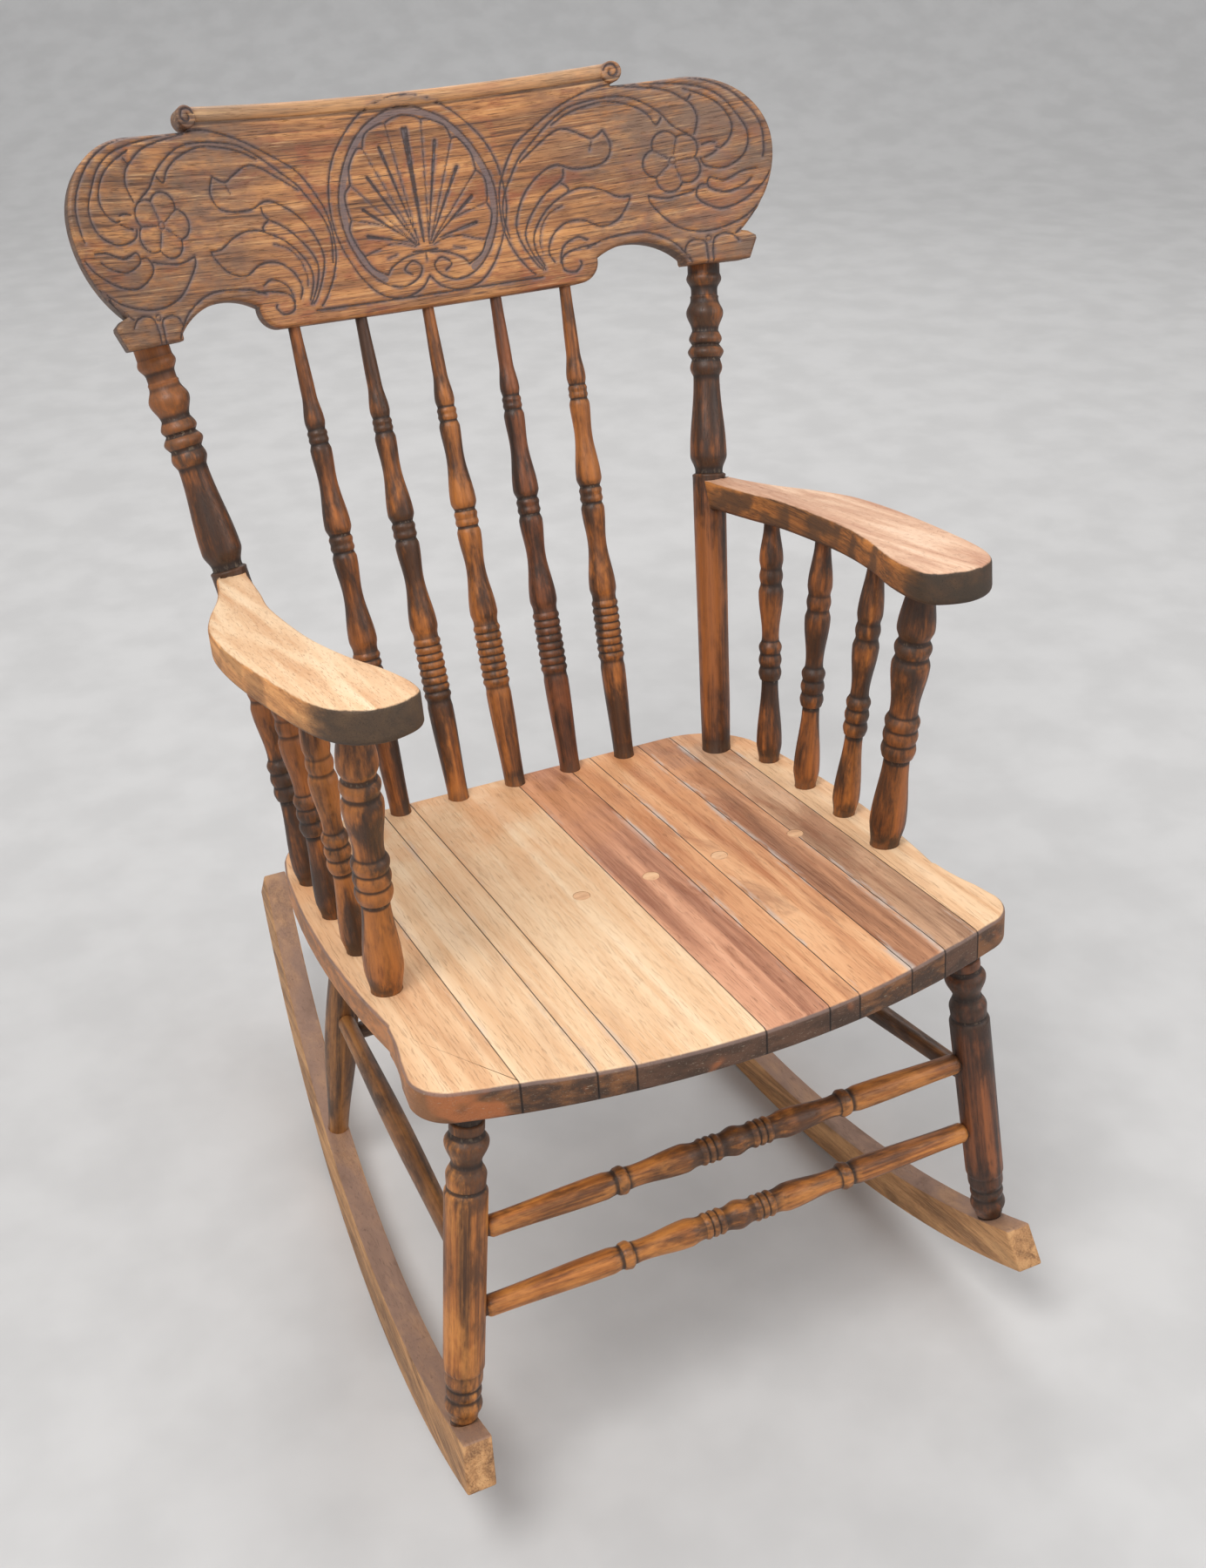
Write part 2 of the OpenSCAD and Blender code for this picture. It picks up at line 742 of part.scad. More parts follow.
module turned_stretcher(h) {
    run = front_end(right, h)[0];
    half = stretcher_half(run);
    color(golden)
        translate(front_end(right, h) - [run, 0, 0])
            rotate([0, 90, 0])
                turning(concat(
                    [for (i = [len(half) - 1 : -1 : 1]) [-half[i][0], half[i][1]]],
                    half
                ));
}

// Plain rod, thickest in its middle, between two legs
module plain_stretcher(p, q) {
    run = norm(q - p);
    color(brown)
        between(p, q)
            turning([
                [stop_short, stretcher_end_d], [leg_d / 2, stretcher_end_d],
                [leg_d / 2 + shoulder_run, stretcher_end_d + 3], [run / 2, rod_d],
                [run - leg_d / 2 - shoulder_run, stretcher_end_d + 3],
                [run - leg_d / 2, stretcher_end_d],
                [run - stop_short, stretcher_end_d]
            ]);
}

// Rockers

// Ring sector that carries the rockers' curve, cut square to the curve at both tips
module rocker_arc() {
    translate([-seat_front, -rocker_y, rocker_r])
        rotate([0, 90, 0])
            difference() {
                cylinder(r = rocker_r, h = 2 * seat_front, $fn = arc_facets);
                translate([0, 0, -1])
                    cylinder(r = rocker_top_r, h = 2 * seat_front + 2, $fn = arc_facets);
                rotate([0, 0, rocker_rear])
                    translate([-2 * rocker_r, 0, -1])
                        cube([4 * rocker_r, 2 * rocker_r, 2 * seat_front + 2]);
                rotate([0, 0, -rocker_front])
                    translate([-2 * rocker_r, -2 * rocker_r, -1])
                        cube([4 * rocker_r, 2 * rocker_r, 2 * seat_front + 2]);
            }
}

module rocker(side) {
    foot = leg_foot(side);
    color(side == left ? golden : brown)
        difference() {
            intersection() {
                rocker_arc();
                translate(foot)
                    rotate([0, 0, side * rocker_toe])
                        rotate([0, -side * rocker_lean, 0])
                            translate([-rocker_t / 2, -rocker_r, -rocker_r / 2])
                                cube([rocker_t, 3 * rocker_r, rocker_r]);
            }
            between(leg_top(side), leg_foot(side))
                foot_tenon(leg_run, fit_gap);
            between(rear_top(side), rear_foot(side))
                foot_tenon(rear_run, fit_gap);
        }
}

// Screws

screw_head_d = 8;
screw_run = 38;

// Countersunk wood screw pointing along +Z from the top of its head
module screw(grow = 0) {
    rotate_extrude($fn = turned_facets)
        polygon([
            [0, -grow], [screw_head_d / 2 + grow, -grow], [screw_head_d / 2 + grow, 0.6],
            [screw_d / 2 + grow, 3], [screw_d / 2 + grow, screw_run - 4], [0.6, screw_run + grow],
            [0, screw_run + grow]
        ]);
}

// Middle of the joint between an arm and its post
function arm_joint(side) =
    at_height(post_foot(side), post_top(side), arm_under + arm_t / 2);

// The screw enters from behind the post
module arm_screw(side, grow = 0) {
    p = arm_joint(side);
    translate(p + [0, post_d / 2 - 1.5, 0])
        rotate([90, 0, 0])
            screw(grow);
}

// The screw enters the lap from behind the crest rail
crest_screw_up = 16;

module crest_screw(side, grow = 0) {
    on_rake()
        translate([side * post_top_x, -post_top_set + 9, crest_up + crest_screw_up])
            rotate([90, 0, 0])
                screw(grow);
}

module frame_screws() {
    color(steel)
        for (side = [left, right]) {
            arm_screw(side);
            crest_screw(side);
        }
}

standing() seat_board(1);  // seat_board_1
standing() seat_board(2);  // seat_board_2
standing() seat_board(3);  // seat_board_3
standing() seat_board(4);  // seat_board_4
standing() seat_board(5);  // seat_board_5
standing() seat_board(6);  // seat_board_6
standing() seat_board(7);  // seat_board_7
standing() seat_board(8);  // seat_board_8
standing() seat_board(9);  // seat_board_9
standing() seat_board(10);  // seat_board_10
standing() seat_plugs();
standing() crest_rail();
standing() post(left);  // left_post
standing() post(right);  // right_post
standing() back_spindle(1);  // back_spindle_1
standing() back_spindle(2);  // back_spindle_2
standing() back_spindle(3);  // back_spindle_3
standing() back_spindle(4);  // back_spindle_4
standing() back_spindle(5);  // back_spindle_5
standing() arm(left);  // left_arm
standing() arm(right);  // right_arm
standing() arm_spindle(left, 1);  // left_arm_spindle_1
standing() arm_spindle(left, 2);  // left_arm_spindle_2
standing() arm_spindle(left, 3);  // left_arm_spindle_3
standing() arm_support(left);  // left_arm_support
standing() arm_spindle(right, 1);  // right_arm_spindle_1
standing() arm_spindle(right, 2);  // right_arm_spindle_2
standing() arm_spindle(right, 3);  // right_arm_spindle_3
standing() arm_support(right);  // right_arm_support
standing() front_leg(left);  // left_front_leg
standing() front_leg(right);  // right_front_leg
standing() rear_leg(left);  // left_rear_leg
standing() rear_leg(right);  // right_rear_leg
standing() rocker(left);  // left_rocker
standing() rocker(right);  // right_rocker
standing() turned_stretcher(upper_h);  // upper_front_stretcher
standing() turned_stretcher(lower_h);  // lower_front_stretcher
standing() plain_stretcher(rear_end(left, side_rear_h), front_end(left, side_front_h));  // left_side_stretcher
standing() plain_stretcher(rear_end(right, side_rear_h), front_end(right, side_front_h));  // right_side_stretcher
standing() plain_stretcher(rear_end(left, rear_h), rear_end(right, rear_h));  // rear_stretcher
standing() frame_screws();
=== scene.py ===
from math import asin, ceil, cos, pi, radians, sin, sqrt, tan

import bmesh
import bpy
import numpy as np
from mathutils import Matrix, Vector, kdtree


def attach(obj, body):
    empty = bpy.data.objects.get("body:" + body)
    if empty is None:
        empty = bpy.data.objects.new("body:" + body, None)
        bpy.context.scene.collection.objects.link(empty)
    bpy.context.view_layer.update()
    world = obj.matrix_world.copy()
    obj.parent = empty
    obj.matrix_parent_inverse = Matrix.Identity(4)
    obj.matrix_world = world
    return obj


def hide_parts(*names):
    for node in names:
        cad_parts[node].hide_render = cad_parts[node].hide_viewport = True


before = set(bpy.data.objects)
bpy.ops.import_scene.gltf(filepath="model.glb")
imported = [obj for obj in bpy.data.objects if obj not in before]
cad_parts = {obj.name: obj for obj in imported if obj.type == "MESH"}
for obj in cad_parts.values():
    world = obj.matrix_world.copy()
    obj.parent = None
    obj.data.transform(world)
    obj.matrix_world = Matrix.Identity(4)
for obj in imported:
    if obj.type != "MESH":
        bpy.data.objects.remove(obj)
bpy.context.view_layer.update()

# Seat
# Ten sanded hardwood boards of mixed shades, glued edge to edge, hollowed a little on top.
# The glue lines have opened in places and are partly filled; the front edge kept its old dark
# finish. Each board is the CAD solid with its doubles merged and its edges eased.

LEAN = radians(5.9)
ROCKER_R, ROCKER_Y = 853, -179
ROCKER_FRONT, ROCKER_REAR = radians(21.8), radians(38.2)
FRONT_TIP = ROCKER_Y - ROCKER_R * sin(ROCKER_FRONT + LEAN)
REAR_TIP = ROCKER_Y + ROCKER_R * sin(ROCKER_REAR - LEAN)

# The chair is drawn in millimetres with its seat level, then stood on its rockers, leaning back
STAND = (
    Matrix.Scale(0.001, 4)
    @ Matrix.Translation((0, ROCKER_Y - (FRONT_TIP + REAR_TIP) / 2, ROCKER_R))
    @ Matrix.Rotation(-LEAN, 4, "X")
    @ Matrix.Translation((0, -ROCKER_Y, -ROCKER_R))
)
SEAT_H, SEAT_T, SEAT_HALF = 415, 29, 264
SEAT_UP = (STAND.to_3x3() @ Vector((0, 0, 1))).normalized()


def colour(red, green, blue):
    """A colour written as it looks, from 0 to 255, turned into what a shader takes."""
    linear = [(v / 255 / 12.92) if v < 10.3 else ((v / 255 + 0.055) / 1.055) ** 2.4
              for v in (red, green, blue)]
    return (*linear, 1)


class Worth:
    """One output of a material's nodes, which takes part in sums as a number would."""

    def __init__(self, finish, output):
        self.finish = finish
        self.output = output

    def _sum(self, operation, *terms):
        inputs = {i: term for i, term in enumerate(terms)}
        return self.finish.node("ShaderNodeMath", {"operation": operation}, inputs)

    def __add__(self, other):
        return self._sum("ADD", self, other)

    def __radd__(self, other):
        return self._sum("ADD", other, self)

    def __sub__(self, other):
        return self._sum("SUBTRACT", self, other)

    def __rsub__(self, other):
        return self._sum("SUBTRACT", other, self)

    def __mul__(self, other):
        return self._sum("MULTIPLY", self, other)

    def __rmul__(self, other):
        return self._sum("MULTIPLY", other, self)

    def __abs__(self):
        return self._sum("ABSOLUTE", self)

    def mix(self, factor, other):
        """This colour with another one over it, as far as the factor goes."""
        return self.finish.mix(factor, self, other)

    def least(self, other):
        return self._sum("MINIMUM", self, other)

    def fade(self, start, end):
        """Goes smoothly from 0 to 1 as the worth goes from start to end."""
        return self.finish.node(
            "ShaderNodeMapRange", {"interpolation_type": "SMOOTHSTEP"},
            {"Value": self, "From Min": start, "From Max": end})


class Finish:
    """A material with its nodes."""

    def __init__(self, name):
        self.material = bpy.data.materials.new(name)
        self.material.use_nodes = True
        self.tree = self.material.node_tree
        self.shader = self.tree.nodes["Principled BSDF"]

    def node(self, kind, settings={}, inputs={}, output=0):
        made = self.tree.nodes.new(kind)
        for key, value in settings.items():
            setattr(made, key, value)
        for key, value in inputs.items():
            self.feed(made.inputs[key], value)
        return Worth(self, made.outputs[output])

    def feed(self, entry, value):
        if isinstance(value, Worth):
            self.tree.links.new(value.output, entry)
        else:
            entry.default_value = value

    def mix(self, factor, first, second):
        return self.node("ShaderNodeMix", {"data_type": "RGBA"},
                         {0: factor, 6: first, 7: second}, 2)

    def noise(self, place, stretch, detail=3, roughness=0.55, distortion=0):
        spread = self.node("ShaderNodeVectorMath", {"operation": "MULTIPLY"},
                           {0: place, 1: stretch})
        return self.node("ShaderNodeTexNoise", {}, {
            "Vector": spread, "Scale": 1, "Detail": detail, "Roughness": roughness,
            "Distortion": distortion})

    def parts(self, place):
        return [self.node("ShaderNodeSeparateXYZ", {}, {0: place}, i) for i in range(3)]

    def whole(self, x, y, z):
        return self.node("ShaderNodeCombineXYZ", {}, {0: x, 1: y, 2: z})

    def held(self, name, output="Fac"):
        """Reads what the piece's own mesh holds at each point."""
        return self.node("ShaderNodeAttribute", {"attribute_name": name}, {}, output)

    def facing_up(self):
        """The upward part of the surface's direction, from -1 to 1."""
        return self.parts(self.node("ShaderNodeTexCoord", {}, {}, "Normal"))[2]

    def bench(self):
        """Place on the chair in metres with its seat level: across, back and up."""
        return self.node("ShaderNodeMapping", {"vector_type": "POINT"}, {
            "Vector": self.node("ShaderNodeTexCoord", {}, {}, "Object"),
            "Rotation": (LEAN, 0, 0), "Location": STAND.inverted().translation * 0.001})

    def done(self, base, roughness, height, depth=0.0006, specular=0.45):
        self.feed(self.shader.inputs["Base Color"], base)
        self.feed(self.shader.inputs["Roughness"], roughness)
        bump = self.node("ShaderNodeBump", {}, {"Strength": 1, "Distance": depth, "Height": height})
        self.feed(self.shader.inputs["Normal"], bump)
        self.shader.inputs["Specular IOR Level"].default_value = specular
        return self.material


def wood(finish, grain, light, middle, dark, coarse=1, contrast=1):
    """Colour and height of plain wood; grain runs along the third part of its place."""
    bands = finish.noise(grain, (75 / coarse, 75 / coarse, 2.4), 4, 0.55, 0.7)
    fibres = finish.noise(grain, (620, 620, 16), 3, 0.6)
    pores = finish.noise(grain, (1500, 1500, 60), 2, 0.5).fade(0.6, 0.7)
    tone = finish.mix(bands.fade(0.3, 0.62), dark, middle)
    tone = tone.mix(bands.fade(0.5, 0.75), light)
    tone = tone.mix(fibres.fade(0.35, 0.7) * 0.5 * contrast, light)
    tone = tone.mix(pores * 0.55 * contrast, dark)
    height = fibres * 0.25 - pores * 0.5 + bands * 0.3
    return tone, height


def set_mode(kind):
    bpy.ops.object.mode_set(mode=kind)


def take_all():
    bpy.ops.mesh.select_all(action="SELECT")


def take_only(*pieces):
    """Selects these objects and no others, and makes the last one active."""
    bpy.ops.object.select_all(action="DESELECT")
    for piece in pieces:
        piece.select_set(True)
        bpy.context.view_layer.objects.active = piece


def slice_mesh(places, normal):
    """Cuts the shown faces of a mesh in edit mode at these places along the normal."""
    for place in places:
        take_all()
        bpy.ops.mesh.bisect(plane_co=place * Vector(normal), plane_no=normal)


def from_solid(node, name):
    """A copy of a CAD solid, its doubles merged and its flat faces whole, left in edit mode."""
    piece = bpy.data.objects.new(name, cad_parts[node].data.copy())
    bpy.context.collection.objects.link(piece)
    piece.data.materials.clear()
    take_only(piece)
    bpy.ops.mesh.customdata_custom_splitnormals_clear()
    set_mode("EDIT")
    take_all()
    bpy.ops.mesh.remove_doubles(threshold=0.00001)
    bpy.ops.mesh.dissolve_limited(angle_limit=radians(0.1))
    return piece


def pick_edges(piece, rule):
    """Selects, in edit mode, the edges that a rule picks and nothing else."""
    bpy.ops.mesh.select_mode(type="EDGE")
    bpy.ops.mesh.select_all(action="DESELECT")
    mesh = bmesh.from_edit_mesh(piece.data)
    for edge in mesh.edges:
        if rule(edge):
            edge.select_set(True)
    bmesh.update_edit_mesh(piece.data)


def is_corner(edge):
    return len(edge.link_faces) == 2 and edge.calc_face_angle(0) > radians(35)


def ease(piece, rule, width, segments):
    """Rounds the corners that a rule picks by their place and the faces beside them."""
    pick_edges(piece, lambda edge: is_corner(edge) and rule(edge))
    bpy.ops.mesh.bevel(offset=width, segments=segments, clamp_overlap=False)


def finished(piece, material, slot, *nodes, angle=32):
    """Ends the work on a piece: smooth shading, its material, and what it stands for."""
    if piece.mode == "EDIT":
        set_mode("OBJECT")
    take_only(piece)
    bpy.ops.object.shade_smooth_by_angle(angle=radians(angle))
    piece.data.materials.append(material)
    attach(piece, "root")
    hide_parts(*nodes)
    return piece


def is_wall(face):
    """The seat's outer walls and seam faces are level and run through its whole thickness."""
    heights = [v.co.dot(SEAT_UP) for v in face.verts]
    return abs(face.normal.dot(SEAT_UP)) < 0.05 and max(heights) - min(heights) > 0.0225


SEAMS = [share * SEAT_HALF for share in
         (-0.7348, -0.5189, -0.4053, 0, 0.2197, 0.3295, 0.5341, 0.6742, 0.822)]

# light, middle and dark tone of each board, from the left
peach = [colour(248, 218, 182), colour(243, 207, 165), colour(226, 178, 132)]
deep_peach = [colour(246, 209, 168), colour(239, 195, 150), colour(210, 154, 108)]
rose = [colour(232, 176, 140), colour(212, 150, 114), colour(150, 94, 68)]
amber = [colour(240, 190, 144), colour(228, 168, 120), colour(184, 116, 74)]
umber = [colour(222, 168, 128), colour(196, 138, 100), colour(134, 86, 60)]
olive = [colour(228, 186, 150), colour(208, 162, 126), colour(148, 106, 78)]
BOARDS = [
    (deep_peach, "pale_wood"), (peach, "pale_wood"), (peach, "pale_wood"), (peach, "pale_wood"),
    (rose, "rose_wood"), (amber, "olive_wood"), (amber, "olive_wood"), (umber, "rose_wood"),
    (olive, "olive_wood"), (deep_peach, "pale_wood"),
]

for number, (tones, slot) in enumerate(BOARDS, 1):
    low = SEAMS[number - 2] / 1000 if number > 1 else -1
    high = SEAMS[number - 1] / 1000 if number < 10 else 1
    board = from_solid(f"seat_board_{number}", f"board_{number}")

    def on_seam(face, low=low, high=high):
        middle = face.calc_center_median().x
        return abs(face.normal.x) > 0.999 and min(abs(middle - low), abs(middle - high)) < 0.0004

    def seam_edge(edge, on_seam=on_seam):
        return any(on_seam(f) for f in edge.link_faces) and edge.calc_length() > 0.004

    def rim_edge(edge, on_seam=on_seam):
        walls = [f for f in edge.link_faces if is_wall(f) and not on_seam(f)]
        return len(walls) == 1 and not any(on_seam(f) for f in edge.link_faces)

    ease(board, rim_edge, 0.004, 5)
    ease(board, seam_edge, 0.00025, 1)

    finish = Finish(f"seat_{number}")
    place = finish.bench()
    x, y, z = finish.parts(place)
    grain = finish.whole(x + number * 0.37, z, y)
    tone, height = wood(finish, grain, *tones, coarse=1.6, contrast=0.45)
    # darker stain that stayed in patches, more towards the back
    patch = finish.noise(place, (9, 4, 9), 4, 0.6, 0.4)
    stain = patch.fade(0.5, 0.74) * (0.45 + 0.3 * y.fade(-0.2, 0)) * (0.4 if number < 5 else 1)
    tone = tone.mix(stain, tones[2])
    # the darker boards are figured
    figure = finish.noise(grain, (24, 24, 5), 5, 0.62, 1.8).fade(0.52, 0.68)
    dark_board = {5: 0.7, 6: 0.45, 7: 0.55, 8: 0.7, 9: 0.5}.get(number, 0.12)
    tone = tone.mix(figure * dark_board, colour(150, 92, 62))
    # where the back meets the seat the old brown shows in warm patches, painted paler there as
    # painted light in the back's shade
    old_brown_and_painted_light = y.fade(-0.26, -0.02) * finish.noise(place, (12, 12, 12), 4, 0.6).fade(0.38, 0.6)
    tone = tone.mix(old_brown_and_painted_light * 0.5, colour(220, 150, 94))
    # pale filler smeared along the seams
    seam_gap = abs(x - low).least(abs(x - high))
    smear = finish.noise(place, (60, 9, 60), 4, 0.7)
    filler = seam_gap.fade(0.007, 0.0005) * smear.fade(0.52, 0.62)
    tone = tone.mix(filler * (0.8 if number > 5 else 0.45), colour(204, 190, 178))
    seam_line = seam_gap.fade(0.0009, 0.0002) * 0.6
    tone = tone.mix(seam_line, colour(70, 44, 28))
    # the walls keep their old dark finish, scratched through in fine lines
    normal_up = finish.facing_up()
    old = finish.noise(place, (26, 26, 60), 5, 0.65, 0.3)
    wall = (abs(normal_up) + (old - 0.5) * 0.25).fade(0.93, 0.7)
    edge_tone = finish.mix(old.fade(0.4, 0.6), colour(70, 48, 34),
                           colour(96, 66, 48) if number in (4, 5, 6, 9) else colour(132, 86, 50))
    edge_tone = edge_tone.mix(finish.noise(place, (14, 14, 20), 3).fade(0.58, 0.66) * 0.8,
                              colour(178, 104, 58))
    side_tone = finish.mix(old.fade(0.36, 0.6), colour(196, 128, 74), colour(142, 96, 62))
    edge_tone = edge_tone.mix(y.fade(-0.47, -0.42), side_tone)
    # a mauve-grey band of painted sheen lies on the upward-facing rounding under the top's rim
    edge_tone = edge_tone.mix(normal_up.fade(0.12, 0.4) * 0.7, colour(136, 112, 102))
    scratch = finish.noise(place, (240, 240, 900), 3, 0.6, 1.5).fade(0.62, 0.68)
    edge_tone = edge_tone.mix(scratch * 0.5, colour(172, 156, 134))
    edge_tone = edge_tone.mix(seam_gap.fade(0.0014, 0.0004) * 0.8, colour(30, 22, 18))
    tone = tone.mix(wall, edge_tone)
    # painted shade: the faces turned down, under the seat, are made darker brown
    painted_underside_shade = normal_up.fade(-0.9, -0.98)
    tone = tone.mix(painted_underside_shade * 0.8, colour(112, 78, 50))
    rough = 0.62 + patch * 0.12 - wall * 0.1
    finished(board, finish.done(tone, rough, height), slot, f"seat_board_{number}")

# Plugs
# Four round wooden plugs over the screws in the seat, sanded flush, each with a thin dark line
# round it. They are set with their own grain across the boards.

plugs = from_solid("seat_plugs", "plugs")
ease(plugs, lambda edge: edge.calc_length() < 0.003, 0.0003, 2)
finish = Finish("plug")
place = finish.bench()
x, y, z = finish.parts(place)
tone, height = wood(finish, finish.whole(y, z, x * 3), *amber, coarse=0.8, contrast=0.7)
finished(plugs, finish.done(finish.mix(0.35, tone, peach[1]), 0.6 + height * 0.05, height),
         "pale_wood", "seat_plugs")

# Legs
# Turned hardwood, tenoned into the seat and the rockers: two front legs with a ring, a ball and
# beads, and two plain rear legs thickest above their middle. Old finish, dark in the hollows.

LEFT, RIGHT = -1, 1
SIDES = ((LEFT, "left"), (RIGHT, "right"))
RAKE = radians(13.7)
BACK = Matrix.Translation((0, 0, SEAT_H)) @ Matrix.Rotation(-RAKE, 4, "X")
# how deep a turned piece reaches into the seat, and how finely its profile is followed
TENON, FINE_STEP, SPIN_STEPS = 8, 0.5, 40


def rings(start, count, pitch, valley, crown):
    """Stations of a group of small rings, from one height upward."""
    return [(start + i * pitch / 2, crown if i % 2 else valley) for i in range(2 * count)]


def profile_of(stations):
    """Eased half profile through stations of height and diameter; small beads come out rounder."""
    points = []
    for (z, d), (z_next, d_next) in zip(stations, stations[1:]):
        run = z_next - z
        count = 1 if d == d_next else min(12, max(4, ceil(run / 1.4)))
        bead = run < 8.5 and abs(d_next - d) > 2
        for k in range(count):
            t = k / count
            share = (1 - cos(pi * t)) / 2
            if bead:
                round_share = sin(pi * t / 2) if d_next > d else 1 - cos(pi * t / 2)
                share = 0.35 * share + 0.65 * round_share
            points.append(((d + (d_next - d) * share) / 2, z + run * t))
    points.append((stations[-1][1] / 2, stations[-1][0]))
    return points


def places_of(mesh):
    where = np.zeros(len(mesh.vertices) * 3, np.float32)
    mesh.vertices.foreach_get("co", where)
    return where.reshape(-1, 3).astype(float)


def hold(mesh, **fields):
    """Keeps values at a mesh's vertices, for its material to read."""
    for label, values in fields.items():
        kind, field = ("FLOAT", "value") if values.ndim == 1 else ("FLOAT_VECTOR", "vector")
        mesh.attributes.new(label, kind, "POINT").data.foreach_set(
            field, values.astype(np.float32).ravel())


turned_count = 0


def turn(name, stations, foot, head):
    """A piece turned on its own axis: a drawn half profile spun round, set from foot to head."""
    global turned_count
    turned_count += 1
    points = profile_of(stations)
    take_only()
    bpy.ops.mesh.primitive_plane_add(size=1)
    piece = bpy.context.object
    piece.name = name
    set_mode("EDIT")
    bpy.ops.mesh.select_mode(type="VERT")
    take_all()
    bpy.ops.mesh.merge(type="CENTER")
    chain = [(0, points[0][1])] + points + [(0, points[-1][1])]
    bpy.ops.transform.translate(value=(chain[0][0], 0, chain[0][1]))
    for (r, z), (r_next, z_next) in zip(chain, chain[1:]):
        bpy.ops.mesh.extrude_region_move(
            TRANSFORM_OT_translate={"value": (r_next - r, 0, z_next - z)})
    take_all()
    bpy.ops.mesh.spin(steps=SPIN_STEPS, angle=2 * pi, center=(0, 0, 0), axis=(0, 0, 1))
    take_all()
    bpy.ops.mesh.remove_doubles(threshold=0.01)
    bpy.ops.mesh.normals_make_consistent(inside=False)
    set_mode("OBJECT")
    mesh = piece.data
    where = places_of(mesh)
    heights = np.array([z for r, z in points])
    radii = np.array([r for r, z in points])
    fine = np.arange(heights[0], heights[-1], FINE_STEP)
    radius = np.interp(fine, heights, radii)

    def blurred(values, reach):
        width = int(reach / FINE_STEP)
        weights = np.hanning(2 * width + 3)
        padded = np.pad(values, width + 1, mode="edge")
        return np.convolve(padded, weights / weights.sum(), mode="valid")

    mean = blurred(radius, 9)
    steep = blurred(np.abs(np.gradient(radius, fine)), 9)
    hollow = np.interp(where[:, 2], fine, np.clip((mean - radius) / 1.6, 0, 1))
    crown = np.interp(where[:, 2], fine, np.clip((radius - mean) / 1.6, 0, 1))
    grimy = np.clip(steep / 0.55, 0, 1)
    if heights[0] == -TENON:
        # where a piece enters the seat the old finish and glue gathered
        grimy = np.maximum(grimy, np.clip(1.6 - fine / 7, 0, 1))
    ringed = np.interp(where[:, 2], fine, grimy)
    offset = np.array([0.31, 0.17, 0.73]) * turned_count
    hold(mesh, grain=where * 0.001 + offset, hollow=hollow, crown=crown, ringed=ringed)
    foot, head = Vector(foot), Vector(head)
    stand_up = Vector((0, 0, 1)).rotation_difference(head - foot).to_matrix().to_4x4()
    mesh.transform(STAND @ Matrix.Translation(foot) @ stand_up)
    return piece


def turned_finish(name, light, middle, dark, worn=0.6):
    """Old brown finish on turned wood: dark by the rings, rubbed thin on the swellings."""
    finish = Finish(name)
    grain = finish.held("grain", "Vector")
    hollow, crown, ringed = (finish.held(n) for n in ("hollow", "crown", "ringed"))
    tone, height = wood(finish, grain, light, middle, dark, coarse=0.7, contrast=0.6)
    patch = finish.noise(grain, (24, 24, 9), 4, 0.6, 0.4)
    speck = finish.noise(grain, (320, 320, 90), 4, 0.65)
    broken = patch + (speck - 0.5) * 0.22
    thick = (broken + ringed * 0.26 - crown * 0.05).fade(0.48, 0.66)
    tone = tone.mix(thick * 0.85, dark)
    thin = (broken - ringed * 0.1).fade(0.5, 0.34)
    tone = tone.mix(thin * worn, light)
    tone = tone.mix(ringed * speck.fade(0.3, 0.6) * 0.5, colour(92, 70, 52))
    tone = tone.mix(crown * speck.fade(0.6, 0.4) * 0.4, middle)
    tone = tone.mix(hollow.fade(0.08, 0.42) * 0.88, colour(38, 25, 18))
    dust = hollow.fade(0.3, 0.7) * speck.fade(0.52, 0.62)
    tone = tone.mix(dust * 0.4, colour(140, 120, 98))
    rough = 0.34 + speck * 0.2 + hollow * 0.25
    return finish.done(tone, rough, height * 0.6 + speck * 0.3)


golden = turned_finish(
    "golden", colour(216, 142, 70), colour(174, 102, 46), colour(74, 45, 26))
mellow = turned_finish(
    "mellow", colour(192, 118, 54), colour(142, 82, 38), colour(48, 32, 22))
brown = turned_finish(
    "brown", colour(176, 104, 48), colour(114, 65, 31), colour(44, 29, 20), 0.5)
umber_brown = turned_finish(
    "umber_brown", colour(150, 86, 46), colour(92, 53, 32), colour(40, 27, 20), 0.5)
dim = turned_finish("dim", colour(172, 116, 62), colour(122, 78, 43), colour(58, 39, 26), 0.5)

SEAT_UNDER = SEAT_H - SEAT_T
# where the legs enter the seat and the rockers: across and back
LEG_TOP, LEG_FOOT = (224, -437), (260, -441)
REAR_TOP, REAR_FOOT_Y = (200, -64), 22
ROCKER_TOP_R, TOE_IN = 812, radians(4.6)


def rocker_top(y):
    return ROCKER_R - sqrt(ROCKER_TOP_R ** 2 - (y - ROCKER_Y) ** 2)


def rocker_x(y):
    return LEG_FOOT[0] + (LEG_FOOT[1] - y) * tan(TOE_IN)


def leg_top(side):
    return Vector((side * LEG_TOP[0], LEG_TOP[1], SEAT_UNDER))


def leg_foot(side):
    return Vector((side * LEG_FOOT[0], LEG_FOOT[1], rocker_top(LEG_FOOT[1])))


def rear_top(side):
    return Vector((side * REAR_TOP[0], REAR_TOP[1], SEAT_UNDER))


def rear_foot(side):
    return Vector((side * rocker_x(REAR_FOOT_Y), REAR_FOOT_Y, rocker_top(REAR_FOOT_Y)))


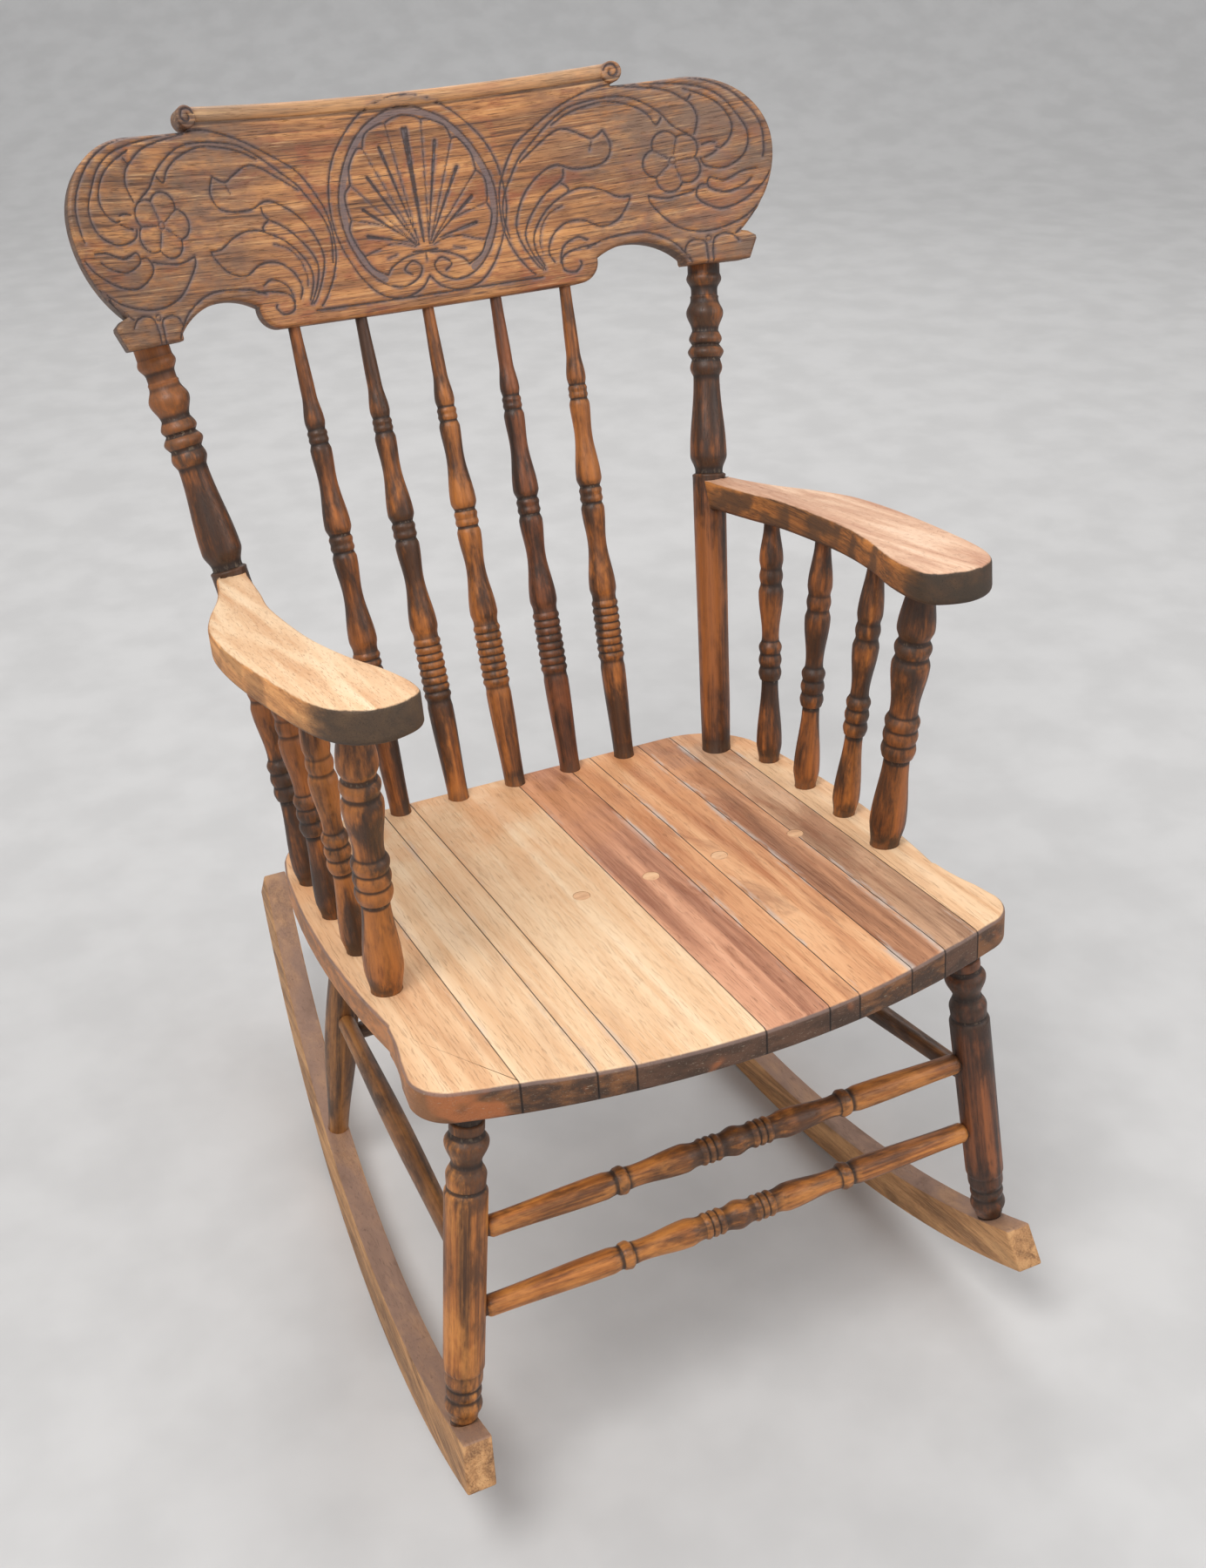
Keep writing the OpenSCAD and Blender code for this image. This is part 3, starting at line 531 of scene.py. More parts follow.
run = (leg_foot(RIGHT) - leg_top(RIGHT)).length
LEG = [
    (-TENON, 24), (15, 24), (17, 28), (23, 28), (25, 26.5), (34, 35.5), (53, 24), (56, 26),
    (64, 32.5), (72, 31.5), (75, 30), (80, 35), (run - 58, 34), (run - 54, 31.5), (run - 45, 31.5),
    (run - 38, 27.5), (run - 33, 30), (run - 28, 27.5), (run - 19, 31.5), (run - 8, 25),
    (run - 4, 21), (run + 5, 21),
]
rear_run = (rear_foot(RIGHT) - rear_top(RIGHT)).length
REAR_LEG = [(-TENON, 20), (0, 20), (0.6 * rear_run, 33), (rear_run, 21), (rear_run + 6, 21)]

for side, word in SIDES:
    leg = turn(f"{word}_leg", LEG, leg_top(side), leg_foot(side))
    finished(leg, golden if side == LEFT else umber_brown,
             "golden_wood" if side == LEFT else "brown_wood", f"{word}_front_leg", angle=50)
    leg = turn(f"{word}_back_leg", REAR_LEG, rear_top(side), rear_foot(side))
    finished(leg, dim, "golden_wood", f"{word}_rear_leg", angle=50)

# Stretchers
# Two turned front stretchers, each with a ball in its middle and rings beside it, and three plain
# rods at the sides and the rear. Their thin ends are glued into the legs.


def at_height(low, high, z):
    return low + (high - low) * ((z - low.z) / (high.z - low.z))


def front_stretcher(half_run):
    half = [(0, 25), (12, 20)] + rings(14, 3, 6.5, 20, 23) + [
        (33.5, 20), (36, 20), (48, 24), (92, 18), (99, 19), (103, 24), (107, 23), (110, 19.5),
        (120, 22), (half_run - 21.5, 18), (half_run - 17.5, 14), (half_run - 6, 14)]
    return [(-z, d) for z, d in reversed(half[1:])] + half


for name, z in (("upper_front_stretcher", 266), ("lower_front_stretcher", 190)):
    end = at_height(leg_top(RIGHT), leg_foot(RIGHT), z)
    middle = Vector((0, end.y, end.z))
    rod = turn(name.replace("_front", ""), front_stretcher(end.x), middle, end)
    finished(rod, golden, "golden_wood", name, angle=50)


def plain_rod(name, start, stop):
    length = (stop - start).length
    rod = turn(f"{name}_rod", [
        (6, 14), (17.5, 14), (21.5, 17), (length / 2, 20.5), (length - 21.5, 17),
        (length - 17.5, 14), (length - 6, 14)], start, stop)
    finished(rod, dim, "brown_wood", f"{name}_stretcher", angle=50)


for side, word in SIDES:
    plain_rod(f"{word}_side", at_height(rear_top(side), rear_foot(side), 226),
              at_height(leg_top(side), leg_foot(side), 241))
plain_rod("rear", at_height(rear_top(LEFT), rear_foot(LEFT), 196),
          at_height(rear_top(RIGHT), rear_foot(RIGHT), 196))

# Rockers
# Two curved runners sawn from plank, bored for the legs, with sanded and slightly rounded edges.
# Their tops went mauve-grey with age while the sides stayed golden.


def runner_edge(edge):
    broad = any(abs(f.normal.x) > 0.95 for f in edge.link_faces)
    return broad or edge.calc_length() > 0.02


for side, word in SIDES:
    runner = from_solid(f"{word}_rocker", f"{word}_runner")
    ease(runner, runner_edge, 0.002, 3)
    finish = Finish(f"{word}_runner")
    place = finish.bench()
    x, y, z = finish.parts(place)
    tone, height = wood(finish, finish.whole(x + side, z, y), colour(214, 164, 112),
                        colour(188, 136, 88), colour(122, 84, 54), coarse=0.9)
    up = finish.facing_up()
    patch = finish.noise(place, (20, 8, 20), 4, 0.6, 0.4)
    tone = tone.mix(up.fade(0.5, 0.9) * (0.5 + 0.5 * patch.fade(0.3, 0.6)), colour(148, 116, 98))
    tone = tone.mix(patch.fade(0.5, 0.7) * (0.3 if side == LEFT else 0.6), colour(96, 68, 46))
    finished(runner, finish.done(tone, 0.6 + patch * 0.1, height),
             "golden_wood" if side == LEFT else "brown_wood", f"{word}_rocker")

# Arm turnings
# Under each arm stand three thin turned spindles and one thick support, with two beads at the top,
# rings in the middle and a swelling at the foot. They are glued into the seat and the arm.


ARM_RISE, ARM_T, ARM_PIVOT_Y, ARM_SLOPE = 263, 28, 14, radians(3.8)


def arm_under(y):
    return SEAT_H + ARM_RISE - ARM_T + (ARM_PIVOT_Y - y) * tan(ARM_SLOPE)


for side, word in SIDES:
    for number, lean in ((1, -18), (2, 6), (3, 25)):
        y = -89 - (number - 1) * 70
        foot = Vector((side * 238, y, SEAT_H))
        head = Vector((side * 258, y - lean, arm_under(y - lean)))
        run = (head - foot).length
        stations = [(-TENON, 20), (0, 20), (18, 25), (83, 16.2)] + rings(84, 3, 13, 19.5, 22.5) + [
            (123, 17), (128, 16.5), (171, 24), (180, 20.3), (187, 22.8), (194, 20.3),
            (203, 23), (run - 4, 15), (run + 8, 15)]
        spindle = turn(f"{word}_baluster_{number}", stations, foot, head)
        finished(spindle, mellow if number == 3 else brown, "brown_wood",
                 f"{word}_arm_spindle_{number}", angle=50)
    foot = Vector((side * 237, -299, SEAT_H))
    head = Vector((side * 247, -339, arm_under(-339)))
    run = (head - foot).length
    stations = [(-TENON, 26), (0, 26), (26, 32.5), (92, 23)] + rings(94, 3, 14, 28, 31) + [
        (136, 25), (142, 24.5), (184, 33.3), (193, 28.5), (201, 32.5), (208, 26.5), (219, 32.5),
        (run - 4, 24), (run + 8, 24)]
    support = turn(f"{word}_support", stations, foot, head)
    finished(support, mellow if side == LEFT else brown, "brown_wood", f"{word}_arm_support",
             angle=50)

# Back spindles and posts
# Five long spindles with eight small rings, beads and a slender top that enters the crest rail,
# and two heavier posts, plain below the arms and turned above, lapped behind the crest rail.

# the rail's front is bent to this radius and stands 5 mm before the spindles' line
CREST_R, CREST_T, CREST_UP = 552, 22, 462
CREST_AXIS = -5 - CREST_R
SPINDLE_PITCH, SPINDLE_TOP_PITCH = 60, 67
POST_FOOT, POST_TOP = (207, -36), (269, -40)


def on_back(x, depth, up):
    return BACK @ Vector((x, depth, up))


for number in range(1, 6):
    x = (number - 3) * SPINDLE_TOP_PITCH
    foot = Vector(((number - 3) * SPINDLE_PITCH, 0, SEAT_H))
    head = on_back(x, CREST_AXIS + sqrt((CREST_R + CREST_T / 2) ** 2 - x * x), CREST_UP)
    run = (head - foot).length
    stations = [(-TENON, 20), (0, 20), (91, 24.5), (98, 23)] + rings(100, 8, 7.5, 23.5, 26.3) + [
        (160, 23.5), (163, 23.5), (172, 26.8), (217, 18.5), (250, 23), (256, 19.5), (260, 22.6),
        (264, 21.2), (268, 22.6), (272, 19.5), (280, 25), (324, 17.3), (351, 19.8), (357, 16.4),
        (360.5, 18.6), (363.5, 17.5), (366.5, 18.6), (370, 16), (377, 18.6), (402, 13.5),
        (run, 11), (run + 10, 11)]
    spindle = turn(f"long_spindle_{number}", stations, foot, head)
    material = {1: brown, 4: umber_brown}.get(number, mellow)
    finished(spindle, material, "golden_wood" if material == mellow else "brown_wood",
             f"back_spindle_{number}", angle=50)

for side, word in SIDES:
    foot = Vector((side * POST_FOOT[0], POST_FOOT[1], SEAT_H))
    head = on_back(side * POST_TOP[0], POST_TOP[1], CREST_UP)
    run = (head - foot).length
    down = [
        (-45, 26), (0, 31), (9, 31), (14, 34), (24, 25.5), (29, 25.5), (31, 27.5), (33, 27),
        (46, 36), (63, 25.5), (71, 32), (76, 26.5), (83, 35), (90, 27.5), (98, 31.5), (106, 25.5),
        (182, 36), (197, 27), (199, 27), (201, 33), (204, 32.5)]
    stations = [(-TENON, 28.5), (0, 28.5), (60, 30)] + [(run - z, d) for z, d in reversed(down)]
    post = turn(f"{word}_upright", stations, foot, head)
    finished(post, brown, "brown_wood", f"{word}_post", angle=50)

# Crest rail
# One bent board with rounded ears, carved feet and a rolled top, its front pressed with a hot
# die: a shell in an oval in the middle, leaves, a stem and a flower at each side. It is bored for
# the spindles from below and lapped over the posts. The lines are drawn along the board's front.

ROLL_HALF, ROLL_THICK, ROLL_HIGH, ROLL_MIDDLE = 200, 24, 14, (0, 9, 184)
ROLL_TURN = CREST_R * asin(ROLL_HALF / CREST_R)
ROLL_END = (ROLL_TURN, 182.3)
KNOB_R, KNOB_LONG, KNOB_ROUND = 9.5, 26, 1.5
CELL, GRID_HIGH, GRID_LOW = 1.12, 184, -4.5
BACK_STRIP = 10
# the oval sits a little off the rail's middle, as on the real one
MEDALLION = 4.5
FLOWER = (250.5, 95.5)
LINE_HALF, FINE_HALF, FLUTE_HALF = 0.7, 0.45, (0.35, 1.4)
LINE_DEPTH, GROUND_DEPTH, FRONT_ROUND = 0.9, 0.8, 3


def circle_points(x, y, r, start, stop, steps):
    return [(x + r * cos(radians(start + (stop - start) * k / steps)),
             y + r * sin(radians(start + (stop - start) * k / steps))) for k in range(steps + 1)]


def smooth(points, step=0.5):
    """Points close together on a smooth line through a few chosen ones."""
    ends = [points[0]] + list(points) + [points[-1]]
    line = []
    for a, b, c, d in zip(ends, ends[1:], ends[2:], ends[3:]):
        a, b, c, d = (np.array(v, float) for v in (a, b, c, d))
        count = max(2, int(np.linalg.norm(c - b) / step))
        t = (np.arange(count) / count)[:, None]
        line.append((2 * b + (c - a) * t + (2 * a - 5 * b + 4 * c - d) * t ** 2
                     + (3 * b - a - 3 * c + d) * t ** 3) / 2)
    line.append(np.array([points[-1]], float))
    return np.vstack(line)


def dense(points, step):
    """Points at even steps along straight lines through all points."""
    points = np.array(points, float)
    lengths = np.hypot(*np.diff(points, axis=0).T)
    along = np.concatenate(([0], np.cumsum(lengths)))
    places = np.linspace(0, along[-1], int(along[-1] / step) + 1)
    return np.column_stack([np.interp(places, along, points[:, i]) for i in (0, 1)])


def tree_of(points):
    tree = kdtree.KDTree(len(points))
    for i, (s, h) in enumerate(points):
        tree.insert((s, h, 0), i)
    tree.balance()
    return tree


half_outline = (
    [(0, 0)] + circle_points(146, 19, 19, -90, 4, 24) + circle_points(196, -31, 60, 119, 38.4, 30)
    + [(243, 0.5), (295, -3), (303, 16), (296, 22)] + circle_points(224, 98, 100, -48, 0, 30)
    + circle_points(254, 98, 70, 5, 90, 40) + [(200, 171), (200, 178), (0, 178)])
half_outline = dense(half_outline, 1)
half_outline[:, 0] = CREST_R * np.arcsin(half_outline[:, 0] / CREST_R)
outline = np.vstack((half_outline, half_outline[::-1] * (-1, 1)))
outline_points = dense(outline, 0.1)
outline_tree = tree_of(outline_points)

# Leaves, stems and the flower of the right half; the left half is its mirror image
LEAF_LINES = [
    # rim of the ear
    [(250, 171.6), (271, 167.3), (291, 161), (310, 150), (323, 137), (332.7, 123), (337.3, 109),
     (336.7, 93), (334.7, 85)],
    # outer stem, from the upper tongue round the ear and down beside the medallion
    [(277, 93), (280, 86.7), (290, 82.7), (300, 82), (310, 85.3), (318, 91), (323, 101),
     (322.7, 113), (315, 128), (305, 142.7), (290, 154), (270, 161), (250, 165), (230, 168),
     (210, 170.4), (190, 171), (167, 165.3), (150, 158.4), (129.7, 147.3), (109.7, 134.7),
     (100, 124), (91, 109), (84.3, 93), (82, 73), (83, 56), (89.7, 37), (100, 20.7), (105.7, 14.7)],
    # curl round the flower's bud
    [(270, 157), (290, 146.7), (303, 135), (310, 120), (307, 108), (298, 100.3), (292.7, 101)],
    [(292, 105.2), (287, 106.5), (280, 105.3)],
    [(292.7, 98), (287, 95.3), (280.7, 93.7)],
    # drop under the ear's top and the inner stem that carries it
    [(269, 148), (273, 147.3), (276, 150.7)],
    [(269, 148), (257, 156.7), (240, 162.7), (210, 169)],
    [(269, 148), (276, 141), (279, 129), (274.3, 115.7)],
    [(267.7, 117.3), (255, 126.7), (246, 138.7), (234, 149), (218, 158), (200, 161), (180, 160.4),
     (159, 156.7), (140, 146), (121.7, 131.5), (108.3, 120), (97.7, 105), (88.3, 89), (84.3, 72),
     (87, 50.7)],
    [(245.7, 135), (240, 130), (233.7, 140), (222, 149), (200, 157), (180, 156.7), (159, 152),
     (143, 144.5)],
    # tongues and cup under the flower
    [(327, 76), (314, 75.7), (296.7, 70.7), (283, 75), (281, 66.7), (296.7, 59.7), (314, 63.7),
     (322, 68.7)],
    [(339, 70.7), (330, 60.7), (310, 49.3), (290, 46), (275, 52.7), (268.3, 61), (271.7, 69.3),
     (278, 70)],
    [(223.7, 68), (240, 63.3), (258, 64.7), (267.7, 66.3)],
    [(223.7, 68), (224.6, 61), (234, 48), (246.6, 36), (265, 29), (285, 28.4), (310, 34.7),
     (328.7, 46.7), (335, 50)],
    [(300, 21.5), (314, 30.7), (322, 38)],
    # lobes on the block over the post, and the line over the arch
    [(250, 13), (253, 19), (260, 22), (270, 18.7), (271, 9), (271, 0)],
    [(276, 0), (276.5, 10), (279.7, 20.7), (289, 23.3), (297, 20.7), (302, 14.7)],
    [(159, 30.7), (175, 35.7), (200, 37.7), (220, 34.7), (240, 23.3), (251.7, 9.3), (255.7, 1.3)],
    # upper leaf
    [(190, 132.7), (195, 120), (191, 108), (180, 102.7), (159, 102.7), (140, 108.7), (121.7, 100.7),
     (108, 88), (99, 73), (95, 57), (99, 41), (108, 24), (113.7, 17.3)],
    [(190, 132.7), (179, 127.3), (169.7, 132), (155, 139.3), (141.7, 137.3), (121.7, 125),
     (108, 116)],
    # tongue between the leaves
    [(147.7, 104), (144.3, 94.7), (128, 85.3), (115, 73), (105.7, 60), (102.3, 48), (107, 32),
     (116, 17.3)],
    [(143, 92.7), (149.7, 86.7), (147.7, 82.7)],
    # lower leaf
    [(206, 71), (195, 72), (181.7, 80), (165, 85.3), (150, 83.3), (128, 72), (112, 53), (109.7, 37),
     (116, 21)],
    [(206, 71), (203.7, 65), (192, 52), (175, 48), (159, 56), (141.7, 56), (128, 46.7), (122, 33),
     (125.7, 22.7)],
    # scroll of the foot, and the arc over it
    [(160, 38), (150, 42), (136, 34.7), (131.7, 21)],
    [(167, 32.7), (150, 31.7), (135, 26.7), (133.7, 14.7), (144, 11), (151, 16.7), (150.3, 20)],
]
LEAF_FINE = [
    [(178, 125), (175, 117)],
    [(141.7, 72), (128, 66.7), (119, 56), (115, 42.7), (116, 33)],
    circle_points(274, 21, 2.5, 0, 360, 12),
    circle_points(*FLOWER, 3, 0, 360, 12),
]
for k in range(5):
    turn_by = 36 + 72 * k
    petal = (FLOWER[0] + 15.5 * cos(radians(turn_by)), FLOWER[1] + 15.5 * sin(radians(turn_by)))
    LEAF_LINES.append(circle_points(*petal, 12.5, turn_by - 83, turn_by + 83, 16))
    turn_by += 36
    LEAF_FINE.append([(FLOWER[0] + r * cos(radians(turn_by)), FLOWER[1] + r * sin(radians(turn_by)))
                      for r in (5, 20)])

# The oval with its shell, drawn from its middle line to the right
OVAL_LINES = [
    [(0, 187.9), (15, 186), (37, 177), (54, 163.5), (71.5, 142.5), (81, 121), (84.8, 98), (84, 77),
     (77, 54.5), (65, 32.5), (49, 16.5), (29, 11.5), (10.5, 16.8), (0, 28)],
    [(0, 178.3), (14, 176), (37, 165), (54, 148.5), (66.5, 128), (74.3, 106.5), (76, 86.5),
     (72, 64.5), (61, 42), (45.5, 26.7), (27, 21.3), (11, 27.5), (6.5, 37), (14.5, 42.5), (23, 36),
     (16.5, 30.6)],
    [(0, 170.7), (10, 168.7), (17.5, 165)],
    [(17.5, 165), (24, 164.5), (38.5, 157.3), (43, 145)],
    [(43, 145), (49, 145), (59, 130.7), (61, 115)],
    [(61, 115), (68, 107), (68, 92), (66, 85)],
    [(66, 85), (69.5, 76), (65.5, 62.7), (59.5, 52)],
    [(59.5, 52), (53, 40.7), (40, 33.3)],
    [(2, 49.3), (19.5, 46.7), (34, 40), (40, 33.3)],
    [(-12, 50.5), (12, 50.5)],
    [(0, 50), (0, 41)],
]
OVAL_FINE = [
    [(5, 56), (17.5, 165)], [(6, 56), (43, 145)], [(7, 56), (61, 115)],
    [(8, 56), (31, 74.7), (66, 85)], [(9, 55), (30, 60), (59.5, 52)], [(28, 50), (38, 47.5)],
]
OVAL_FAT = [
    [(0.5, 58), (1.5, 158.7)], [(5, 60), (27, 145)], [(8, 60), (43.5, 120)], [(11, 60), (53, 92.5)],
    [(14, 60), (53, 69)],
]

# the sunk ground between the oval's inner ring and the shell's rim
OVAL_BAND = [
    (0, 174.5), (13, 172.3), (26, 167.6), (36, 161.6), (45, 154.2), (52, 145.6), (58.5, 135.6),
    (63.5, 126), (67.8, 116), (70.8, 105.5), (72, 95), (72.2, 86), (71.2, 76), (68.5, 65.5),
    (64.2, 55), (58, 44), (51, 36.2), (43.5, 30)]

main, fine, fat, band = [], [], [], []
for side in (RIGHT, LEFT):
    mirrored = np.array((side, 1))
    main += [smooth(line) * mirrored for line in LEAF_LINES]
    fine += [smooth(line) * mirrored for line in LEAF_FINE]
    shift = np.array((MEDALLION, 0))
    main += [smooth(line) * mirrored + shift for line in OVAL_LINES]
    fine += [smooth(line) * mirrored + shift for line in OVAL_FINE]
    fat += [smooth(line) * mirrored + shift for line in OVAL_FAT]
    band.append(smooth(OVAL_BAND) * mirrored + shift)
    # each end of the rolled top is carved as a small snail
    curl = [(ROLL_END[0] + r * cos(1.2 * r), ROLL_END[1] + r * sin(1.2 * r))
            for r in (7.6, 7.2, 6.8, 6.4, 6, 5.2, 4.4, 3.6, 2.8, 2)]
    main.append(smooth(curl) * mirrored)
main.append(smooth([(-112, 11), (112, 11)]))
main, fine, fat_points, band = (np.vstack(lines) for lines in (main, fine, fat, band))
# the shell's wide flutes run out thin towards its foot
fat_widths = np.concatenate([np.linspace(*FLUTE_HALF, len(line)) for line in fat])
pressed = [(tree_of(main), np.full(len(main), LINE_HALF)),
           (tree_of(fine), np.full(len(fine), FINE_HALF)), (tree_of(fat_points), fat_widths)]
band_tree = tree_of(band)


# The front: a close grid cut to the outline, whose edge is drawn back and closed behind
LIMIT = outline[:, 0].max() + 1.5
columns, rows = round(2 * LIMIT / CELL), round(GRID_HIGH / CELL)
take_only()
bpy.ops.mesh.primitive_grid_add(
    x_subdivisions=columns, y_subdivisions=rows, size=1, rotation=(pi / 2, 0, 0))
board = bpy.context.object
board.name = "crest"
bpy.ops.object.transform_apply(location=False, rotation=True, scale=False)
set_mode("EDIT")
bpy.ops.mesh.select_mode(type="VERT")
take_all()
bpy.ops.transform.resize(value=(2 * LIMIT, 1, GRID_HIGH))
bpy.ops.transform.translate(value=(0, 0, GRID_LOW + GRID_HIGH / 2))
bpy.ops.mesh.select_all(action="DESELECT")
set_mode("OBJECT")


def to_outline(s, h):
    """Distance to the rail's outline and the nearest point on it."""
    _, index, distance = outline_tree.find((s, h, 0))
    return distance, outline_points[index]


where = places_of(board.data)
inside = np.zeros(len(where), bool)
for (s0, h0), (s1, h1) in zip(outline, np.roll(outline, -1, axis=0)):
    if h0 != h1:
        crosses = (h0 > where[:, 2]) != (h1 > where[:, 2])
        inside ^= crosses & (where[:, 0] < (s1 - s0) * (where[:, 2] - h0) / (h1 - h0) + s0)
rim = np.array([to_outline(s, h)[0] for s, t, h in where])
board.data.vertices.foreach_set("select", ~inside | (rim < 0.4))
set_mode("EDIT")
bpy.ops.mesh.delete(type="VERT")
take_all()
bpy.ops.mesh.delete_loose(use_verts=True, use_edges=True, use_faces=False)
bpy.ops.mesh.select_all(action="DESELECT")
mesh = bmesh.from_edit_mesh(board.data)
for edge in mesh.edges:
    if edge.is_boundary:
        edge.select_set(True)
for vertex in mesh.verts:
    if vertex.select:
        vertex.co.x, vertex.co.z = to_outline(vertex.co.x, vertex.co.z)[1]
bmesh.update_edit_mesh(board.data)
bpy.ops.mesh.extrude_region_move(TRANSFORM_OT_translate={"value": (0, CREST_T, 0)})
bpy.ops.mesh.edge_face_add()
bpy.ops.mesh.hide(unselected=True)
slice_mesh([BACK_STRIP * step for step in range(-34, 35)], (1, 0, 0))
slice_mesh([2 * BACK_STRIP * step + 0.3 for step in range(1, 9)], (0, 0, 1))
take_all()
bpy.ops.mesh.remove_doubles(threshold=0.05)
bpy.ops.mesh.reveal()
set_mode("OBJECT")

# The rolled top: a bar with half-round front and back
take_only()
bpy.ops.mesh.primitive_cube_add(size=1, location=ROLL_MIDDLE)
roll = bpy.context.object
set_mode("EDIT")
take_all()
bpy.ops.transform.resize(
    value=(2 * ROLL_TURN, ROLL_THICK, ROLL_HIGH), center_override=ROLL_MIDDLE)
pick_edges(roll, lambda edge: abs(edge.verts[0].co.x - edge.verts[1].co.x) > 0.5)
bpy.ops.mesh.bevel(offset=ROLL_HIGH / 2 - 0.05, segments=8)
slice_mesh([BACK_STRIP * step for step in range(-20, 21)], (1, 0, 0))
set_mode("OBJECT")
bpy.ops.object.transform_apply(location=True, rotation=False, scale=False)

# Its ends: round knobs a little proud of the roll
knobs = []
for side in (LEFT, RIGHT):
    take_only()
    bpy.ops.mesh.primitive_cylinder_add(
        vertices=48, radius=KNOB_R, depth=KNOB_LONG, rotation=(pi / 2, 0, 0),
        location=(side * ROLL_END[0], ROLL_MIDDLE[1], ROLL_END[1]))
    knob = bpy.context.object
    bpy.ops.object.transform_apply(location=True, rotation=True, scale=False)
    set_mode("EDIT")
    bpy.ops.mesh.select_mode(type="FACE")
    bpy.ops.mesh.select_all(action="DESELECT")
    mesh = bmesh.from_edit_mesh(knob.data)
    for face in mesh.faces:
        face.select_set(face.normal.y < -0.9)
    bmesh.update_edit_mesh(knob.data)
    for width in [0.3, 0.3, 0.4, 0.5] + [0.85] * 9:
        bpy.ops.mesh.inset(thickness=width)
    set_mode("OBJECT")
    knobs.append(knob)

take_only(roll, *knobs, board)
bpy.ops.object.join()

# The pressed lines sink into the front, its edge is rounded, and the rail is bent and leant back
mesh = board.data
where = places_of(mesh)
edge = np.full(len(where), 9.0)
rim = np.full(len(where), 9.0)
ground = np.full(len(where), 9.0)
for i, (s, t, h) in enumerate(where):
    if t < 0.5:
        found = [(tree.find((s, h, 0)), widths) for tree, widths in pressed]
        edge[i] = min(near[2] - widths[near[1]] for near, widths in found)
        ground[i] = band_tree.find((s, h, 0))[2]
        if t > -0.5 and h < 176:
            rim[i] = to_outline(s, h)[0]
sunk = where.copy()
depth = LINE_DEPTH * np.exp(-np.clip(edge, 0, 9) / 1.2) + 0.3 * np.clip(-edge, 0, 1)
depth = np.maximum(depth, GROUND_DEPTH * np.clip((3.2 - ground) / 1.2, 0, 1))
front = (where[:, 1] < 0.5) & (where[:, 1] > -0.5)
snail = where[:, 1] < -3.5
sunk[front | snail, 1] += depth[front | snail]
outer = np.hypot(np.abs(where[:, 0]) - ROLL_END[0], where[:, 2] - ROLL_END[1])


def rounding(past, radius):
    """How far a rounded edge falls back where a place is so far past its start."""
    return radius - np.sqrt(radius ** 2 - np.clip(past, 0, radius) ** 2)


sunk[snail, 1] += rounding(outer - (KNOB_R - KNOB_ROUND), KNOB_ROUND)[snail]
sunk[front, 1] += rounding(FRONT_ROUND - rim, FRONT_ROUND)[front]
across = CREST_R * np.sin(sunk[:, 0] / CREST_R)
bent = np.column_stack(
    (across, CREST_AXIS + np.sqrt((CREST_R + sunk[:, 1]) ** 2 - across ** 2), sunk[:, 2]))
mesh.vertices.foreach_set("co", bent.astype(np.float32).ravel())
hold(mesh, grain=where * 0.001, edge=edge, ground=ground)
mesh.transform(STAND @ BACK @ Matrix.Translation((0, 0, CREST_UP)))
mesh.update()

finish = Finish("crest")
grain = finish.held("grain", "Vector")
edge, ground = finish.held("edge"), finish.held("ground")
across, through, up = finish.parts(grain)
tone, height = wood(finish, finish.whole(up, through, across), colour(206, 148, 92),
                    colour(172, 112, 66), colour(98, 62, 42), coarse=1.1, contrast=1)
ear = (abs(across) + up * 0.25).fade(0.13, 0.24)
patch = finish.noise(grain, (9, 9, 22), 4, 0.6, 0.5)
mottle = finish.noise(grain, (60, 60, 130), 4, 0.62)
tone = tone.mix(patch.fade(0.46, 0.34) * (1 - ear) * 0.5, colour(214, 152, 92))
tone = tone.mix(patch.fade(0.52, 0.64) * 0.5, colour(120, 74, 46))
red = finish.noise(grain, (16, 16, 30), 4, 0.65, 0.8) + (mottle - 0.5) * 0.4
tone = tone.mix(red.fade(0.5, 0.66) * 0.55, colour(146, 78, 50))
tone = tone.mix(ear * (patch * 0.7 + mottle * 0.6).fade(0.45, 0.8) * 0.75, colour(112, 94, 80))
hairs = finish.noise(grain, (26, 120, 1100), 4, 0.65)
tone = tone.mix(hairs.fade(0.52, 0.66) * 0.55, colour(84, 55, 42))
streak = finish.noise(grain, (14, 60, 420), 4, 0.65, 0.2)
tone = tone.mix(streak.fade(0.53, 0.64) * 0.75, colour(74, 50, 40))
tone = tone.mix(streak.fade(0.44, 0.3) * 0.5, colour(226, 180, 130))
# its sawn edges below the roll are painted darker, the ends and the arches' undersides alike; under
# the arches this is painted shade
dark_sawn_edge_and_shade = through.fade(0.0005, 0.002) * through.fade(0.0219, 0.0214) * up.fade(0.172, 0.165)
tone = tone.mix(dark_sawn_edge_and_shade * 0.6, colour(70, 50, 38))
# the roll is rubbed a little paler than the board
rubbed = up.fade(0.1765, 0.1795) * abs(across).fade(0.2, 0.19)
tone = tone.mix(rubbed * 0.3, colour(226, 182, 136))
# old finish and dust, grey and a little blue, in and beside the pressed lines
wobble = edge + (finish.noise(grain, (300, 300, 300), 3, 0.6) - 0.5) * 0.9
tone = tone.mix(wobble.fade(3, 0.1) * mottle.fade(0.4, 0.55) * 0.7, colour(112, 96, 94))
sunk_ground = (ground + (mottle - 0.5) * 2).fade(3.2, 2.2)
tone = tone.mix(sunk_ground * 0.8, colour(108, 94, 94))
tone = tone.mix(wobble.fade(0.4, -0.3) * 0.9, colour(56, 46, 46))
# painted shadow: a dark line along the front just under the roll's lower edge
shadow_under_roll = abs(up - 0.1768).fade(0.0022, 0.0004) * through.fade(0.0015, 0.0005)
tone = tone.mix(shadow_under_roll * 0.7, colour(60, 44, 36))
dust = finish.noise(grain, (130, 130, 130), 3, 0.6).fade(0.5, 0.62) * wobble.fade(-0.1, -0.7)
tone = tone.mix(dust * 0.6, colour(112, 100, 100))
